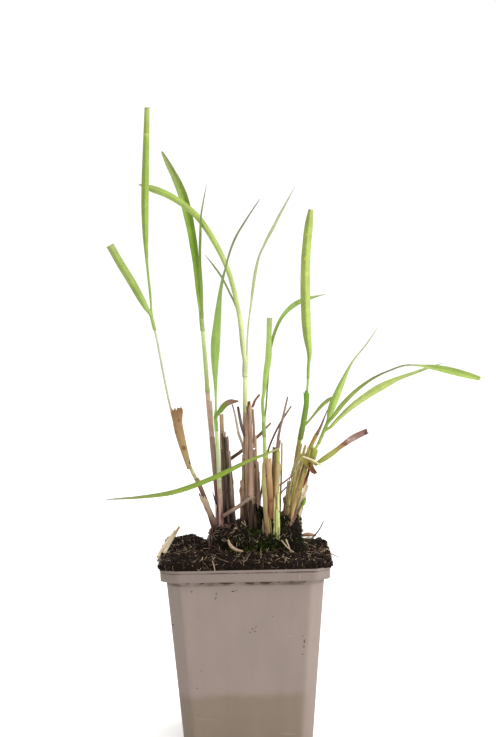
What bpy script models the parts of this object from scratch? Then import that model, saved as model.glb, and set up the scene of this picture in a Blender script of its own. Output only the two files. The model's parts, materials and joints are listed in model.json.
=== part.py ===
"""Ornamental grass clump in a square nursery pot.

A square taupe plastic pot holds dark peat compost. The old root ball stands
proud of the compost, and every culm, cut stub and dead stalk is planted in a
socket of that root ball. Leaf blades and husks are separate thin bodies that
start a hair above, or beside, the culm that bears them.

Axes: +Z is up, -Y is the front, the origin is the centre of the pot's base.
"""
import math

import bmesh
import bpy
from mathutils import Vector, noise

MM = 0.001

# Pot, in millimetres
POT_HEIGHT = 95.0
RIM_WIDTH = 90.0
RIM_DEPTH = 6.4
LIP_DEPTH = 1.1
BODY_TOP_WIDTH = 83.0
BASE_WIDTH = 68.0
WALL = 0.9
FLOOR = 1.4
CHAMFER_TOP = 7.0
CHAMFER_BASE = 5.8
RIM_CHAMFER = 7.4
DRAIN_DIAMETER = 7.0
DRAIN_OFFSET = 22.0

# Compost and root ball, in millimetres
GAP = 0.35
POCKET_GAP = 0.6
COMPOST_EDGE_RISE = 1.2
COMPOST_CROWN_RISE = 5.5
ROOT_CENTRE = (5.5, 1.0)
ROOT_HALF_WIDTH = 24.5
ROOT_HALF_DEPTH = 20.5
ROOT_FOOT = 52.0
ROOT_TOP_LEFT = 111.0
ROOT_TOP_RIGHT = 116.0

# Plant tissue, in millimetres
BLADE_THICKNESS = 0.55
HUSK_THICKNESS = 0.5
SOCKET_DEPTH = 2.5
TUBE_SIDES = 6

# Colours, sRGB
LEAF = "#93AC48"
LEAF_DARK = "#6F8E2C"
LEAF_PALE = "#B4C56E"
CULM_GREEN = "#B3BD86"
CULM_OLIVE = "#A3A24A"
STRAW = "#B89F84"
STRAW_PALE = "#D2BC98"
BROWN = "#8A6A50"
PURPLE_BROWN = "#685854"
DARK_BROWN = "#3E2D22"
PINK_BROWN = "#9D6A63"
POT_TAUPE = "#9C8F83"
PEAT = "#241A15"
ROOT_BROWN = "#2B211A"

# Culms and stubs: each is planted in the root ball.
# Guide points are (x, y, z, diameter), from the foot upwards.
PLANTED = {
    "culm_a": (CULM_GREEN, [
        (-15.5, -6, 108, 2.4), (-19, -7, 121.5, 2.4), (-24, -8, 135.5, 2.1),
        (-30.5, -8.5, 150, 1.6), (-37.5, -9, 173, 1.4), (-41.5, -9.5, 193, 1.3),
        (-45, -10, 214, 1.2), (-47.5, -10, 226, 1.4)]),
    "culm_b": (CULM_GREEN, [
        (-13, 4, 106.5, 2.5), (-14.5, 5, 127.5, 2.5), (-16.5, 6, 152.5, 2.5),
        (-18, 7, 171.5, 2.7), (-19, 8, 186.5, 2.5), (-20, 9, 205, 2.4),
        (-21.5, 10, 225, 2)]),
    "culm_c": (CULM_GREEN, [
        (-12, -5, 107.5, 2.3), (-13, -6, 126, 2.3), (-13.5, -7, 150.5, 2.2),
        (-14.5, -7.5, 171, 1.7)]),
    "culm_d": (CULM_GREEN, [
        (1, 2, 110, 2.7), (1, 2.5, 135.5, 2.7), (1.5, 3, 163, 2.7),
        (1.5, 3.5, 182.5, 2.6), (2, 4, 199.5, 2.6)]),
    "culm_e": (STRAW, [
        (13.5, -13, 105.5, 2.7), (13, -12.5, 123.5, 2.7), (12, -11.5, 145, 2.4),
        (11.5, -10.5, 164, 1.8), (11, -10, 179, 1.3)]),
    "culm_f": (CULM_OLIVE, [
        (22.5, 5, 108.5, 2.5), (26, 4.5, 129.5, 2.5), (30, 4, 153, 2.4),
        (33.5, 3.5, 171, 2), (35.5, 3, 183.5, 1.4), (36.5, 2.5, 198, 1.2)]),
    "culm_g": (CULM_OLIVE, [
        (25, -3, 109, 2.4), (30, -5, 133, 2.4), (36, -6, 148.5, 2),
        (41, -7, 157.5, 1.5), (45, -7.5, 166.5, 1.4)]),
    "culm_h_olive": (CULM_OLIVE, [
        (17, -15.5, 106, 2.4), (17, -14.5, 123.5, 2.5), (18, -13, 139.5, 2.5),
        (19, -12, 153.5, 2.3)]),
    "stub_l_tan": (STRAW, [
        (-10.5, -1, 107, 2.4), (-11, -0.5, 136, 2.3), (-11.5, 0.5, 173.5, 2.4)]),
    "stub_l_purple": (PURPLE_BROWN, [
        (-6, -4, 108, 2.7), (-7.5, -3.5, 131, 2.5), (-9, -2.5, 161.5, 2.1)]),
    "stub_l_dark": (DARK_BROWN, [
        (-7.5, 4.5, 109, 1.9), (-9, 4, 130, 1.7), (-12, 4, 158, 1.4)]),
    "stub_d_left": (STRAW, [
        (-1, -6, 108, 2.7), (0, -5, 131, 2.8), (0.5, -4, 151.5, 2.5)]),
    "stub_d_mid": (BROWN, [
        (3, -9, 108, 2.7), (3, -8, 131, 2.8), (3.5, -7, 150.5, 2.6)]),
    "stub_d_right": (STRAW, [
        (7, -3, 108, 2.3), (7, -2.5, 130.5, 2.3), (6, -2, 154, 2)]),
    "stub_h_brown": (BROWN, [
        (13.5, -6, 108, 2), (14.5, -6, 122.5, 2), (16, -6, 139, 2.2),
        (17, -6, 155.5, 2.1)]),
    "stub_h_thin": (STRAW_PALE, [
        (18.5, -7, 109, 1.1), (19.5, -7.5, 126.5, 1.1), (20.5, -8, 142, 1),
        (21, -8, 158, 0.9)]),
    "dead_h_tall": (PURPLE_BROWN, [
        (14, -1, 109, 1.4), (16, 0, 125.5, 1.4), (19, 2, 157.5, 1.4),
        (22, 4, 170.5, 1.3), (25, 7, 182, 0.9)]),
    "dead_h_fine": (DARK_BROWN, [
        (6.5, 5.5, 110, 1.1), (10.5, 5.5, 136.5, 1), (14, 7, 153.5, 1),
        (20.5, 10, 167, 1.1), (27, 13, 176.5, 0.8)]),
    "stub_g_pink": (PINK_BROWN, [
        (21, -8, 107.5, 2.3), (23, -8, 125.5, 2.4), (24.5, -8.5, 137, 2.1)]),
    "stub_g_olive": (CULM_OLIVE, [
        (24, -12.5, 107.5, 2.2), (26.5, -12, 126, 2.3), (29, -12, 140, 2.1)]),
    "stub_g_pale": (STRAW_PALE, [
        (27, 0.5, 109, 2), (31.5, -1, 125, 2), (34.5, -2, 137.5, 1.7)]),
}

# Loose straws: they lie against the stalks or on the compost.
LOOSE = {
    "straw_front": (STRAW, [
        (-11.5, -8.8, 119, 1.7), (-2.5, -9.3, 124.5, 1.7), (5.5, -12, 130, 1.6)]),
    "straw_back": (BROWN, [
        (-10, 6, 146.8, 1.8), (0, 7.4, 153.5, 1.6), (8, 8.6, 160.5, 1.4),
        (15.5, 10.8, 167.5, 1.2)]),
    "straw_soil": (STRAW_PALE, [
        (-46.5, -14, 96.2, 2.2), (-42, -4, 102.6, 2), (-36, 6, 111.5, 1.2)]),
}

# Leaf blades: thin bodies with a lens-shaped section.
# Guide points are (x, y, z, width, turn in degrees of the face away from the front).
BLADES = {
    "blade_a_tall": (LEAF, [
        (-47.8, -9.7, 226.7, 1.3, 30), (-49, -8, 241, 2.8, 55), (-50, -7, 253, 2.3, 40),
        (-50.5, -6, 268, 3.1, 15), (-50.5, -4, 290, 4.1, 5), (-49.5, -2.5, 317.5, 3.6, 8),
        (-48.5, -2, 340.5, 2.8, 15)]),
    "blade_a_cut": (LEAF, [
        (-47.6, -11.3, 225.8, 1.6, 20), (-52, -13, 234.5, 3.8, 10),
        (-57.5, -15, 245.5, 4.3, 5), (-63.5, -17.5, 256, 4.3, 5),
        (-68.5, -20, 265.5, 4.3, 8)]),
    "blade_b_long": (LEAF_DARK, [
        (-21.8, 10.7, 225.6, 1.8, 15), (-23, 11.5, 241, 3.1, 10), (-24, 12.5, 256.5, 3.7, 10),
        (-26, 13.5, 273, 4.5, 5), (-30, 15, 292, 5, 0), (-35, 16.5, 305, 3.9, 10),
        (-42, 18, 319, 0.7, 25)]),
    "blade_b_thin": (LEAF_DARK, [
        (-21.4, 9.4, 225.6, 1.3, 35), (-21.5, 7.5, 241, 2.2, 40), (-22, 6, 256, 2.5, 55),
        (-21.5, 4, 271, 2.9, 60), (-20.5, 2, 283.5, 2.1, 65), (-17, -1, 298.5, 0.8, 60)]),
    "blade_c_long": (LEAF, [
        (-14.5, -7.6, 171.5, 1.4, 20), (-14.5, -8, 183.5, 1.7, 25),
        (-14.5, -8.5, 196, 3.3, 10), (-14, -9, 209, 4.8, 0), (-12.5, -10, 225, 4, 5),
        (-10.5, -11, 241.5, 2.5, 30), (-7.5, -11.5, 254, 2.6, 65),
        (-2, -11, 269.5, 3.5, 72), (11.5, -9, 289.5, 2.1, 75)]),
    "blade_c_short": (LEAF_DARK, [
        (-14, -9.1, 170.5, 1.4, 0), (-11.5, -11, 176.5, 2.3, 0), (-8.5, -13, 180, 2.2, 10),
        (-5.5, -15.5, 181.5, 2.3, 35), (-2, -17, 181.5, 0.8, 40)]),
    "blade_d_arching": (LEAF, [
        (1.6, 3.6, 200.1, 1.9, 20), (0.5, 3.5, 215.5, 2.8, 10), (-1.5, 3, 230.5, 2.6, 20),
        (-6, 2.5, 250.5, 2.7, 15), (-13.5, 3.5, 267.5, 3.1, 10), (-23.5, 5, 282.5, 3.4, 5),
        (-37, 6.5, 293, 3.6, 0), (-48.5, 8, 298, 3.8, 0), (-54.5, 9, 300, 1.3, 20)]),
    "blade_d_thin": (LEAF_DARK, [
        (1.2, 5.4, 200.3, 1.2, 50), (-0.2, 6.4, 210, 1.6, 55), (-2, 8.5, 229.5, 2.1, 60), (-6, 10, 239.5, 2.4, 65),
        (-11, 12, 249.5, 2.4, 65), (-19, 15, 261, 1.1, 60)]),
    "blade_d_right": (LEAF_PALE, [
        (2.6, 5, 200.1, 1.3, 30), (3.5, 8, 218, 1.6, 45), (5.5, 10, 232.5, 1.7, 45),
        (8, 12, 248, 2.2, 20), (11, 14, 260.5, 1.9, 50), (18, 16, 274, 2.2, 30),
        (25, 18, 287, 1.6, 40), (31.5, 20, 298, 0.6, 40)]),
    "blade_e_cut": (LEAF, [
        (11.1, -10, 179.5, 1.3, 10), (12.5, -10, 192, 2.7, 5), (14.5, -11, 203.5, 3.5, 0),
        (15, -12, 214.5, 2.7, 5), (15.5, -13, 225.5, 2.8, 5)]),
    "blade_e_arching": (LEAF_DARK, [
        (11.7, -8.9, 168, 1.2, 30), (13.2, -7.9, 182, 1.4, 45), (15, -6, 202, 1.7, 45), (17.5, -4, 215, 1.8, 25),
        (22, -1, 225, 1.9, 20), (28, 3, 231.5, 2.6, 0), (34.5, 7, 235, 2.4, 10),
        (40.5, 10, 236.5, 1.6, 25), (47, 13, 238, 0.6, 40)]),
    "blade_f_broad": (LEAF, [
        (36.5, 2.5, 198.5, 1.4, 15), (37, 2, 206.5, 3.3, 5), (36, 1.5, 217.5, 4.9, 0),
        (35.5, 0.5, 237, 5.2, 0), (36, -1, 257, 4.9, 0), (37.5, -3, 273, 4.2, 5),
        (39, -5, 283.5, 2.1, 10)]),
    "blade_f_side": (LEAF, [
        (33.3, 5.2, 163.5, 1.4, 10), (36, 6.5, 168, 1.7, 10), (39, 8, 171.5, 1.8, 15), (44, 10, 177, 2.4, 15),
        (49, 12, 180.5, 2.5, 25), (54.5, 14, 182.5, 0.9, 45)]),
    "blade_g_upright": (LEAF, [
        (45.2, -7.5, 167, 1.6, 20), (48, -6, 175.5, 4.4, 5), (51.5, -4, 183.5, 4.1, 5),
        (55.5, -1, 192, 2.7, 20), (60.5, 2, 201, 1.5, 50), (68, 6, 209.5, 1.3, 55),
        (75.5, 10, 219.5, 0.8, 60)]),
    "blade_g_folded": (LEAF, [
        (45.7, -9.6, 166.8, 1.6, 10), (52, -11, 176, 3.4, 10), (60, -13, 184.5, 3.1, 15),
        (69.5, -15, 191.5, 2.7, 40), (79.5, -16.5, 196, 3, 70), (87.5, -17.5, 198.5, 3.7, 80),
        (96.5, -18.5, 198, 2.6, 45), (109, -20, 196, 3.8, 5), (120, -21.5, 193, 3.4, 5),
        (126.5, -22.5, 191, 2.1, 15)]),
    "blade_g_drooping": (LEAF_PALE, [
        (43.6, -8.6, 161.5, 1.4, 15), (49.5, -8.8, 168.5, 2.3, 20), (58.5, -8, 176.5, 3.1, 10),
        (69, -6, 183.5, 3.7, 5), (75.5, -4.5, 187, 4, 0), (84, -2, 191, 2.7, 25),
        (94.5, 1, 194.5, 2.2, 45), (104.5, 4, 197.5, 1.7, 55), (110.5, 6, 199, 0.7, 50)]),
    "leaf_g_withered": (CULM_OLIVE, [
        (30, 2.8, 141.5, 1.5, 15), (32.8, 2, 146, 2, 15), (35.5, 1.5, 152, 2.2, 10), (39.5, 2.5, 160, 2.6, 10),
        (42.5, 4, 165.5, 1.8, 25), (47, 6.5, 175.5, 0.7, 45)]),
    "blade_g_brown_tip": (LEAF_DARK, [
        (38.3, -9.1, 145.8, 2.2, 10), (43, -12.5, 149, 3.1, 5), (48.5, -15, 153, 2.8, 10),
        (52.5, -17.5, 156.5, 2.5, 20), (59, -20.5, 161, 3.5, 5), (66, -24, 164.5, 2.9, 5)]),
    "leaf_g_brown": (BROWN, [
        (30.2, -12.3, 132.5, 1.4, 10), (32.6, -12.6, 136.5, 2, 5), (34.5, -13, 141, 2.5, 5), (35.5, -13.5, 146, 2.3, 10)]),
    "blade_j_low": (LEAF_DARK, [
        (19.5, -13.6, 155.2, 1.3, 40), (12, -17, 152.5, 1.7, 20), (2, -19, 149, 2.1, 10),
        (-10, -20.5, 143.5, 2.7, 5), (-24, -22, 138, 2.8, 0), (-39.5, -23, 133.5, 2.6, 0),
        (-58, -24, 131.5, 1.6, 20), (-73, -25, 131, 1.1, 30)]),
    "leaf_d_red": (PINK_BROWN, [
        (3.5, -1.5, 153, 2.1, 10), (3.5, -1.5, 166.5, 2.5, 5), (3.5, -2, 175, 2.6, 10),
        (3.5, -2.5, 180.5, 2.2, 20)]),
    "leaf_d_bent": (BROWN, [
        (5.4, 2.1, 176.8, 1.6, 10), (7, -0.5, 181, 1.6, 20), (9.5, -1.5, 184, 1.5, 20)]),
    "leaf_d_strip": (STRAW, [
        (5.9, -0.6, 154.8, 1.3, 20), (6, 1.4, 160, 1.5, 20), (6, 2.5, 166.5, 1.5, 25), (5.5, 2.5, 176, 1.5, 15)]),
    "leaf_d_pale": (STRAW_PALE, [
        (0.3, -3.4, 152.2, 1.3, 20), (-0.7, -2.4, 158, 1.5, 20), (-2.5, -2.5, 163.5, 1.7, 15), (-4, -3.5, 172.5, 1.7, 25),
        (-5.5, -4.5, 179, 1.1, 30)]),
    "leaf_d_grey": (PURPLE_BROWN, [
        (0.6, 1, 161.5, 1.4, 20), (-1, 0, 168.5, 2, 10), (-2.5, -0.6, 177.5, 1.8, 15)]),
}

# Husks: old sheaths, cupped round the front of a culm.
# Guide points are (x, y, z, width, turn), as for the blades.
HUSKS = {
    "husk_a": (STRAW, [
        (-29, -9.6, 145, 2.4, 0), (-32, -9.6, 156, 3.8, 0), (-34.5, -9.7, 167, 4.9, 5),
        (-36, -10.7, 178, 4.9, 10)]),
    "husk_a_low": (STRAW_PALE, [
        (-15.4, -8.4, 113.8, 2.6, 0), (-20, -8.4, 124, 3.2, 0), (-22, -8.9, 130, 2.7, 10)]),
    "husk_e": (STRAW, [
        (14.5, -15.8, 118, 3, 0), (14, -15.5, 130, 3.4, 0), (13.5, -14.6, 142, 3.2, 0),
        (13, -14, 150, 2.6, 5)]),
    "husk_f": (CULM_OLIVE, [
        (31.5, 2.6, 159, 2.6, 0), (33.5, 2.6, 169.5, 3, 0), (35, 2.4, 178, 2.8, 0),
        (35.5, 2.2, 185, 2.7, 5)]),
    "husk_g": (CULM_OLIVE, [
        (35.5, -7.1, 144, 3.5, 0), (37, -7.1, 149, 4.3, 0), (39, -7.8, 155.5, 4.1, 5)]),
}


def linear(hex_colour):
    """Linear RGBA of an sRGB hex colour."""
    parts = [int(hex_colour[i:i + 2], 16) / 255 for i in (1, 3, 5)]
    parts = [c / 12.92 if c <= 0.04045 else ((c + 0.055) / 1.055) ** 2.4 for c in parts]
    return (*parts, 1.0)


def make_material(name, hex_colour, roughness):
    """A plain Principled material."""
    material = bpy.data.materials.new(name)
    material.use_nodes = True
    shader = material.node_tree.nodes["Principled BSDF"]
    shader.inputs["Base Color"].default_value = linear(hex_colour)
    shader.inputs["Roughness"].default_value = roughness
    shader.inputs["Metallic"].default_value = 0.0
    material.diffuse_color = linear(hex_colour)
    return material


def solid_from_rings(name, rings, hex_colour, roughness, smooth=True):
    """One closed body from rings of points in millimetres, with a flat cap at each end."""
    mesh = bpy.data.meshes.new(name)
    count = len(rings[0])
    points = [Vector(p) * MM for ring in rings for p in ring]
    faces = [tuple(reversed(range(count)))]
    for r in range(len(rings) - 1):
        for i in range(count):
            j = (i + 1) % count
            a = r * count
            b = a + count
            faces.append((a + i, a + j, b + j, b + i))
    last = (len(rings) - 1) * count
    faces.append(tuple(last + i for i in range(count)))
    mesh.from_pydata(points, [], faces)
    edit = bmesh.new()
    edit.from_mesh(mesh)
    bmesh.ops.recalc_face_normals(edit, faces=edit.faces)
    edit.to_mesh(mesh)
    edit.free()
    for polygon in mesh.polygons:
        polygon.use_smooth = smooth
    body = bpy.data.objects.new(name, mesh)
    bpy.context.scene.collection.objects.link(body)
    mesh.materials.append(make_material(name, hex_colour, roughness))
    return body


def spline(points, steps):
    """Guide points joined by a smooth curve that passes through each of them."""
    curve = []
    last = len(points) - 1
    for i in range(last):
        p0 = points[max(i - 1, 0)]
        p1 = points[i]
        p2 = points[i + 1]
        p3 = points[min(i + 2, last)]
        for step in range(steps):
            t = step / steps
            curve.append([
                0.5 * (2 * b + (c - a) * t + (2 * a - 5 * b + 4 * c - d) * t * t
                       + (3 * b - a - 3 * c + d) * t ** 3)
                for a, b, c, d in zip(p0, p1, p2, p3)
            ])
    curve.append(list(points[last]))
    return curve


def frames(curve):
    """Place, width direction and face direction at each point of a curve."""
    found = []
    for i, point in enumerate(curve):
        before = Vector(curve[max(i - 1, 0)][:3])
        after = Vector(curve[min(i + 1, len(curve) - 1)][:3])
        along = (after - before).normalized()
        face = Vector((0, -1, 0))
        face = (face - along * face.dot(along)).normalized()
        across = along.cross(face)
        found.append((Vector(point[:3]), across, face))
    return found


def turned(across, face, degrees):
    """Width and face directions after a turn about the blade's own length."""
    angle = math.radians(degrees)
    wide = across * math.cos(angle) + face * math.sin(angle)
    front = face * math.cos(angle) - across * math.sin(angle)
    return wide, front


def add_tube(name, hex_colour, points, extra=0.0, roughness=0.6):
    """A culm or stub: a six-sided tapering tube; extra is added to its radius."""
    curve = spline(points, 2)
    rings = []
    for (place, across, face), point in zip(frames(curve), curve):
        radius = point[3] / 2 + extra
        ring = []
        for k in range(TUBE_SIDES):
            angle = 2 * math.pi * k / TUBE_SIDES
            ring.append(place + across * radius * math.cos(angle) + face * radius * math.sin(angle))
        rings.append(ring)
    return solid_from_rings(name, rings, hex_colour, roughness)


def add_blade(name, hex_colour, points):
    """A leaf blade: a thin lens in section, as wide and as turned as its guide points say."""
    rings = []
    curve = spline(points, 2)
    for (place, across, face), point in zip(frames(curve), curve):
        wide, front = turned(across, face, point[4])
        half = point[3] / 2
        thick = min(BLADE_THICKNESS, 0.45 * point[3]) / 2
        rings.append([
            place - wide * half,
            place - front * thick,
            place + wide * half,
            place + front * thick,
        ])
    return solid_from_rings(name, rings, hex_colour, 0.5)


def add_husk(name, hex_colour, points):
    """A husk: a cupped strip whose edges wrap back towards the culm."""
    rings = []
    curve = spline(points, 2)
    for (place, across, face), point in zip(frames(curve), curve):
        wide, front = turned(across, face, point[4])
        half = point[3] / 2
        bulge = 0.32 * point[3]
        rings.append([
            place - wide * half,
            place - wide * half * 0.45 + front * (bulge - HUSK_THICKNESS),
            place + wide * half * 0.45 + front * (bulge - HUSK_THICKNESS),
            place + wide * half,
            place + wide * half * 0.5 + front * bulge,
            place - wide * half * 0.5 + front * bulge,
        ])
    return solid_from_rings(name, rings, hex_colour, 0.75)


def square_outline(width, chamfer, z, rounding=1.2):
    """Square outline with chamfered corners, each bend softened by one short facet."""
    half = width / 2
    outline = []
    for quarter in range(4):
        turn = math.radians(90 * quarter)
        corner = [
            (half, half - chamfer - rounding),
            (half - rounding * 0.3, half - chamfer + rounding * 0.4),
            (half - chamfer + rounding * 0.4, half - rounding * 0.3),
            (half - chamfer - rounding, half),
        ]
        for x, y in corner:
            outline.append((
                x * math.cos(turn) - y * math.sin(turn),
                x * math.sin(turn) + y * math.cos(turn),
                z,
            ))
    return outline


def body_width(z):
    """Outer width of the tapering pot body at height z."""
    share = z / (POT_HEIGHT - RIM_DEPTH)
    return BASE_WIDTH + (BODY_TOP_WIDTH - BASE_WIDTH) * share


def body_chamfer(z):
    """Chamfer of the pot's corners at height z."""
    share = z / (POT_HEIGHT - RIM_DEPTH)
    return CHAMFER_BASE + (CHAMFER_TOP - CHAMFER_BASE) * share


def add_pot():
    """The pot: one skin that runs up the outside, over the lip and down to the inner floor."""
    under_rim = POT_HEIGHT - RIM_DEPTH
    outer = [
        square_outline(BASE_WIDTH - 1.6, CHAMFER_BASE, 0),
        square_outline(body_width(0.8), CHAMFER_BASE, 0.8),
        square_outline(body_width(44), body_chamfer(44), 44),
        square_outline(BODY_TOP_WIDTH, CHAMFER_TOP, under_rim),
        square_outline(RIM_WIDTH - 1.4, RIM_CHAMFER, under_rim + 0.3),
        square_outline(RIM_WIDTH - 0.8, RIM_CHAMFER, under_rim + 1.0),
        square_outline(RIM_WIDTH - 0.7, RIM_CHAMFER, POT_HEIGHT - LIP_DEPTH - 0.2),
        square_outline(RIM_WIDTH, RIM_CHAMFER, POT_HEIGHT - LIP_DEPTH),
        square_outline(RIM_WIDTH, RIM_CHAMFER, POT_HEIGHT - 0.3),
        square_outline(RIM_WIDTH - 0.6, RIM_CHAMFER, POT_HEIGHT),
    ]
    inner = [
        square_outline(RIM_WIDTH - 2.4, RIM_CHAMFER - 0.4, POT_HEIGHT),
        square_outline(RIM_WIDTH - 3.0, RIM_CHAMFER - 0.5, POT_HEIGHT - 0.6),
        square_outline(RIM_WIDTH - 3.4, RIM_CHAMFER - 0.5, under_rim + 1.4),
        square_outline(BODY_TOP_WIDTH - 2 * WALL, CHAMFER_TOP - 0.4, under_rim - 0.4),
        square_outline(body_width(FLOOR) - 2 * WALL, CHAMFER_BASE - 0.4, FLOOR),
    ]
    pot = solid_from_rings("pot", outer + inner, POT_TAUPE, 0.55, smooth=False)
    for i in range(8):
        angle = math.radians(45 * i)
        reach = DRAIN_OFFSET * (1.18 if i % 2 else 1.0)
        rings = []
        for z in (-3, FLOOR + 3):
            rings.append([
                (reach * math.cos(angle) + DRAIN_DIAMETER / 2 * math.cos(math.tau * k / 12),
                 reach * math.sin(angle) + DRAIN_DIAMETER / 2 * math.sin(math.tau * k / 12), z)
                for k in range(12)
            ])
        cutter = solid_from_rings("drain_cutter_%d" % i, rings, PEAT, 0.9)
        hide_helper(cutter)
        cut(pot, cutter, "drain_%d" % i)
    return pot


def hide_helper(helper):
    """Keeps a cutter out of the finished object."""
    helper.hide_render = True
    helper.display_type = "WIRE"


def cut(body, cutter, name):
    """An exact Boolean difference."""
    modifier = body.modifiers.new(name, "BOOLEAN")
    modifier.operation = "DIFFERENCE"
    modifier.solver = "EXACT"
    modifier.object = cutter


def lumps(x, y, z, scale):
    """Smooth lumpiness of the peat, between about -1 and 1."""
    return noise.noise(Vector((x / scale, y / scale, z / scale)))


def compost_height(x, y):
    """Height of the compost's surface: low at the rim, higher towards the middle."""
    half = (RIM_WIDTH - 4.0) / 2
    edge = max(abs(x), abs(y)) / half
    rise = COMPOST_EDGE_RISE + (COMPOST_CROWN_RISE - COMPOST_EDGE_RISE) * (1 - edge ** 3)
    return POT_HEIGHT + rise + 1.3 * lumps(x, y, 3, 9)


def add_compost():
    """The compost: fills the pot to its rim and rises in a low, lumpy mound."""
    under_rim = POT_HEIGHT - RIM_DEPTH
    levels = [
        (body_width(FLOOR + GAP) - 2 * WALL - 2 * GAP, CHAMFER_BASE - 0.4, FLOOR + GAP),
        (BODY_TOP_WIDTH - 2 * WALL - 2 * GAP, CHAMFER_TOP - 0.4, under_rim),
        (RIM_WIDTH - 3.4 - 2 * GAP, RIM_CHAMFER - 0.5, under_rim + 2.2),
        (RIM_WIDTH - 3.4 - 2 * GAP, RIM_CHAMFER - 0.5, POT_HEIGHT - 0.6),
    ]
    rings = [fine_outline(width, chamfer, z) for width, chamfer, z in levels]
    top = fine_outline(RIM_WIDTH - 4.6, RIM_CHAMFER - 0.5, 0)
    for share in (1.0, 0.88, 0.75, 0.62, 0.48, 0.34, 0.2, 0.06):
        ring = []
        for x, y, _ in top:
            ring.append((x * share, y * share, compost_height(x * share, y * share)))
        rings.append(ring)
    return solid_from_rings("compost", rings, PEAT, 0.95, smooth=False)


def fine_outline(width, chamfer, z):
    """The chamfered square outline with extra points along its sides."""
    coarse = square_outline(width, chamfer, z)
    outline = []
    for i, start in enumerate(coarse):
        end = coarse[(i + 1) % len(coarse)]
        pieces = 6 if i % 4 == 3 else 1
        for k in range(pieces):
            outline.append(tuple(a + (b - a) * k / pieces for a, b in zip(start, end)))
    return outline


def root_ring(z, spread, extra):
    """One ring of the root ball: a lumpy rounded rectangle."""
    ring = []
    for k in range(24):
        angle = math.tau * k / 24
        c = math.cos(angle)
        s = math.sin(angle)
        x = math.copysign(abs(c) ** 0.7, c) * ROOT_HALF_WIDTH * spread
        y = math.copysign(abs(s) ** 0.7, s) * ROOT_HALF_DEPTH * spread
        swell = 1 + 0.05 * lumps(x, y, z, 8)
        ring.append((
            ROOT_CENTRE[0] + x * swell + extra * c,
            ROOT_CENTRE[1] + y * swell + extra * s,
            z,
        ))
    return ring


def root_top(x, y):
    """Height of the root ball's top: lower at the left, cropped and lumpy."""
    share = (x - ROOT_CENTRE[0] + ROOT_HALF_WIDTH) / (2 * ROOT_HALF_WIDTH)
    return ROOT_TOP_LEFT + (ROOT_TOP_RIGHT - ROOT_TOP_LEFT) * share + 1.5 * lumps(x, y, 7, 7)


def add_root_ball(name, extra):
    """The root ball; extra fattens it for use as the compost's pocket."""
    rings = []
    for z, spread in ((ROOT_FOOT, 0.72), (ROOT_FOOT + 6, 0.84), (80, 0.93), (98, 0.97)):
        rings.append(root_ring(z - (extra if z == ROOT_FOOT else 0), spread, extra))
    for drop, spread in ((6, 0.98), (2.2, 0.95), (0.2, 0.86), (0, 0.6), (0, 0.3), (0, 0.06)):
        ring = []
        for x, y, _ in root_ring(108, spread, extra):
            ring.append((x, y, root_top(x, y) - drop + extra))
        rings.append(ring)
    return solid_from_rings(name, rings, ROOT_BROWN, 0.95, smooth=False)


def main():
    """Clears the scene and builds every body."""
    for thing in list(bpy.data.objects):
        bpy.data.objects.remove(thing, do_unlink=True)
    add_pot()
    compost = add_compost()
    root_ball = add_root_ball("root_ball", 0.0)
    pocket = add_root_ball("pocket_cutter", POCKET_GAP)
    hide_helper(pocket)
    cut(compost, pocket, "root_pocket")
    for name, (colour, points) in PLANTED.items():
        add_tube(name, colour, points)
        x, y, z, diameter = points[0]
        ahead = Vector(points[1][:3]) - Vector((x, y, z))
        foot = Vector((x, y, z)) - ahead.normalized() * GAP
        socket = [(*foot, diameter)] + points[1:2]
        cutter = add_tube("socket_" + name, colour, socket, extra=GAP)
        hide_helper(cutter)
        cut(root_ball, cutter, "socket_" + name)
    for name, (colour, points) in LOOSE.items():
        add_tube(name, colour, points)
    for name, (colour, points) in BLADES.items():
        add_blade(name, colour, points)
    for name, (colour, points) in HUSKS.items():
        add_husk(name, colour, points)


main()
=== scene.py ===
"""Potted ornamental grass clump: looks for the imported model.

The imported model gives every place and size. Each strand of the plant is read
back from its CAD node as a row of stations and grown again as fine tissue:
culms with nodes and peeling sheaths, keeled leaf blades, torn husks and dry
leaves. The square nursery pot, the compost and the root ball are rebuilt finely
around the same surfaces, and Geometry Nodes scatter crumbs, fibres, bark and
moss over them.

Lengths in the tables are in millimetres. +Z is up and -Y is the front.
"""
import itertools
import json
import math
import random

import bmesh
import bpy
from mathutils import Matrix, Vector, noise
from mathutils.bvhtree import BVHTree

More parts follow.
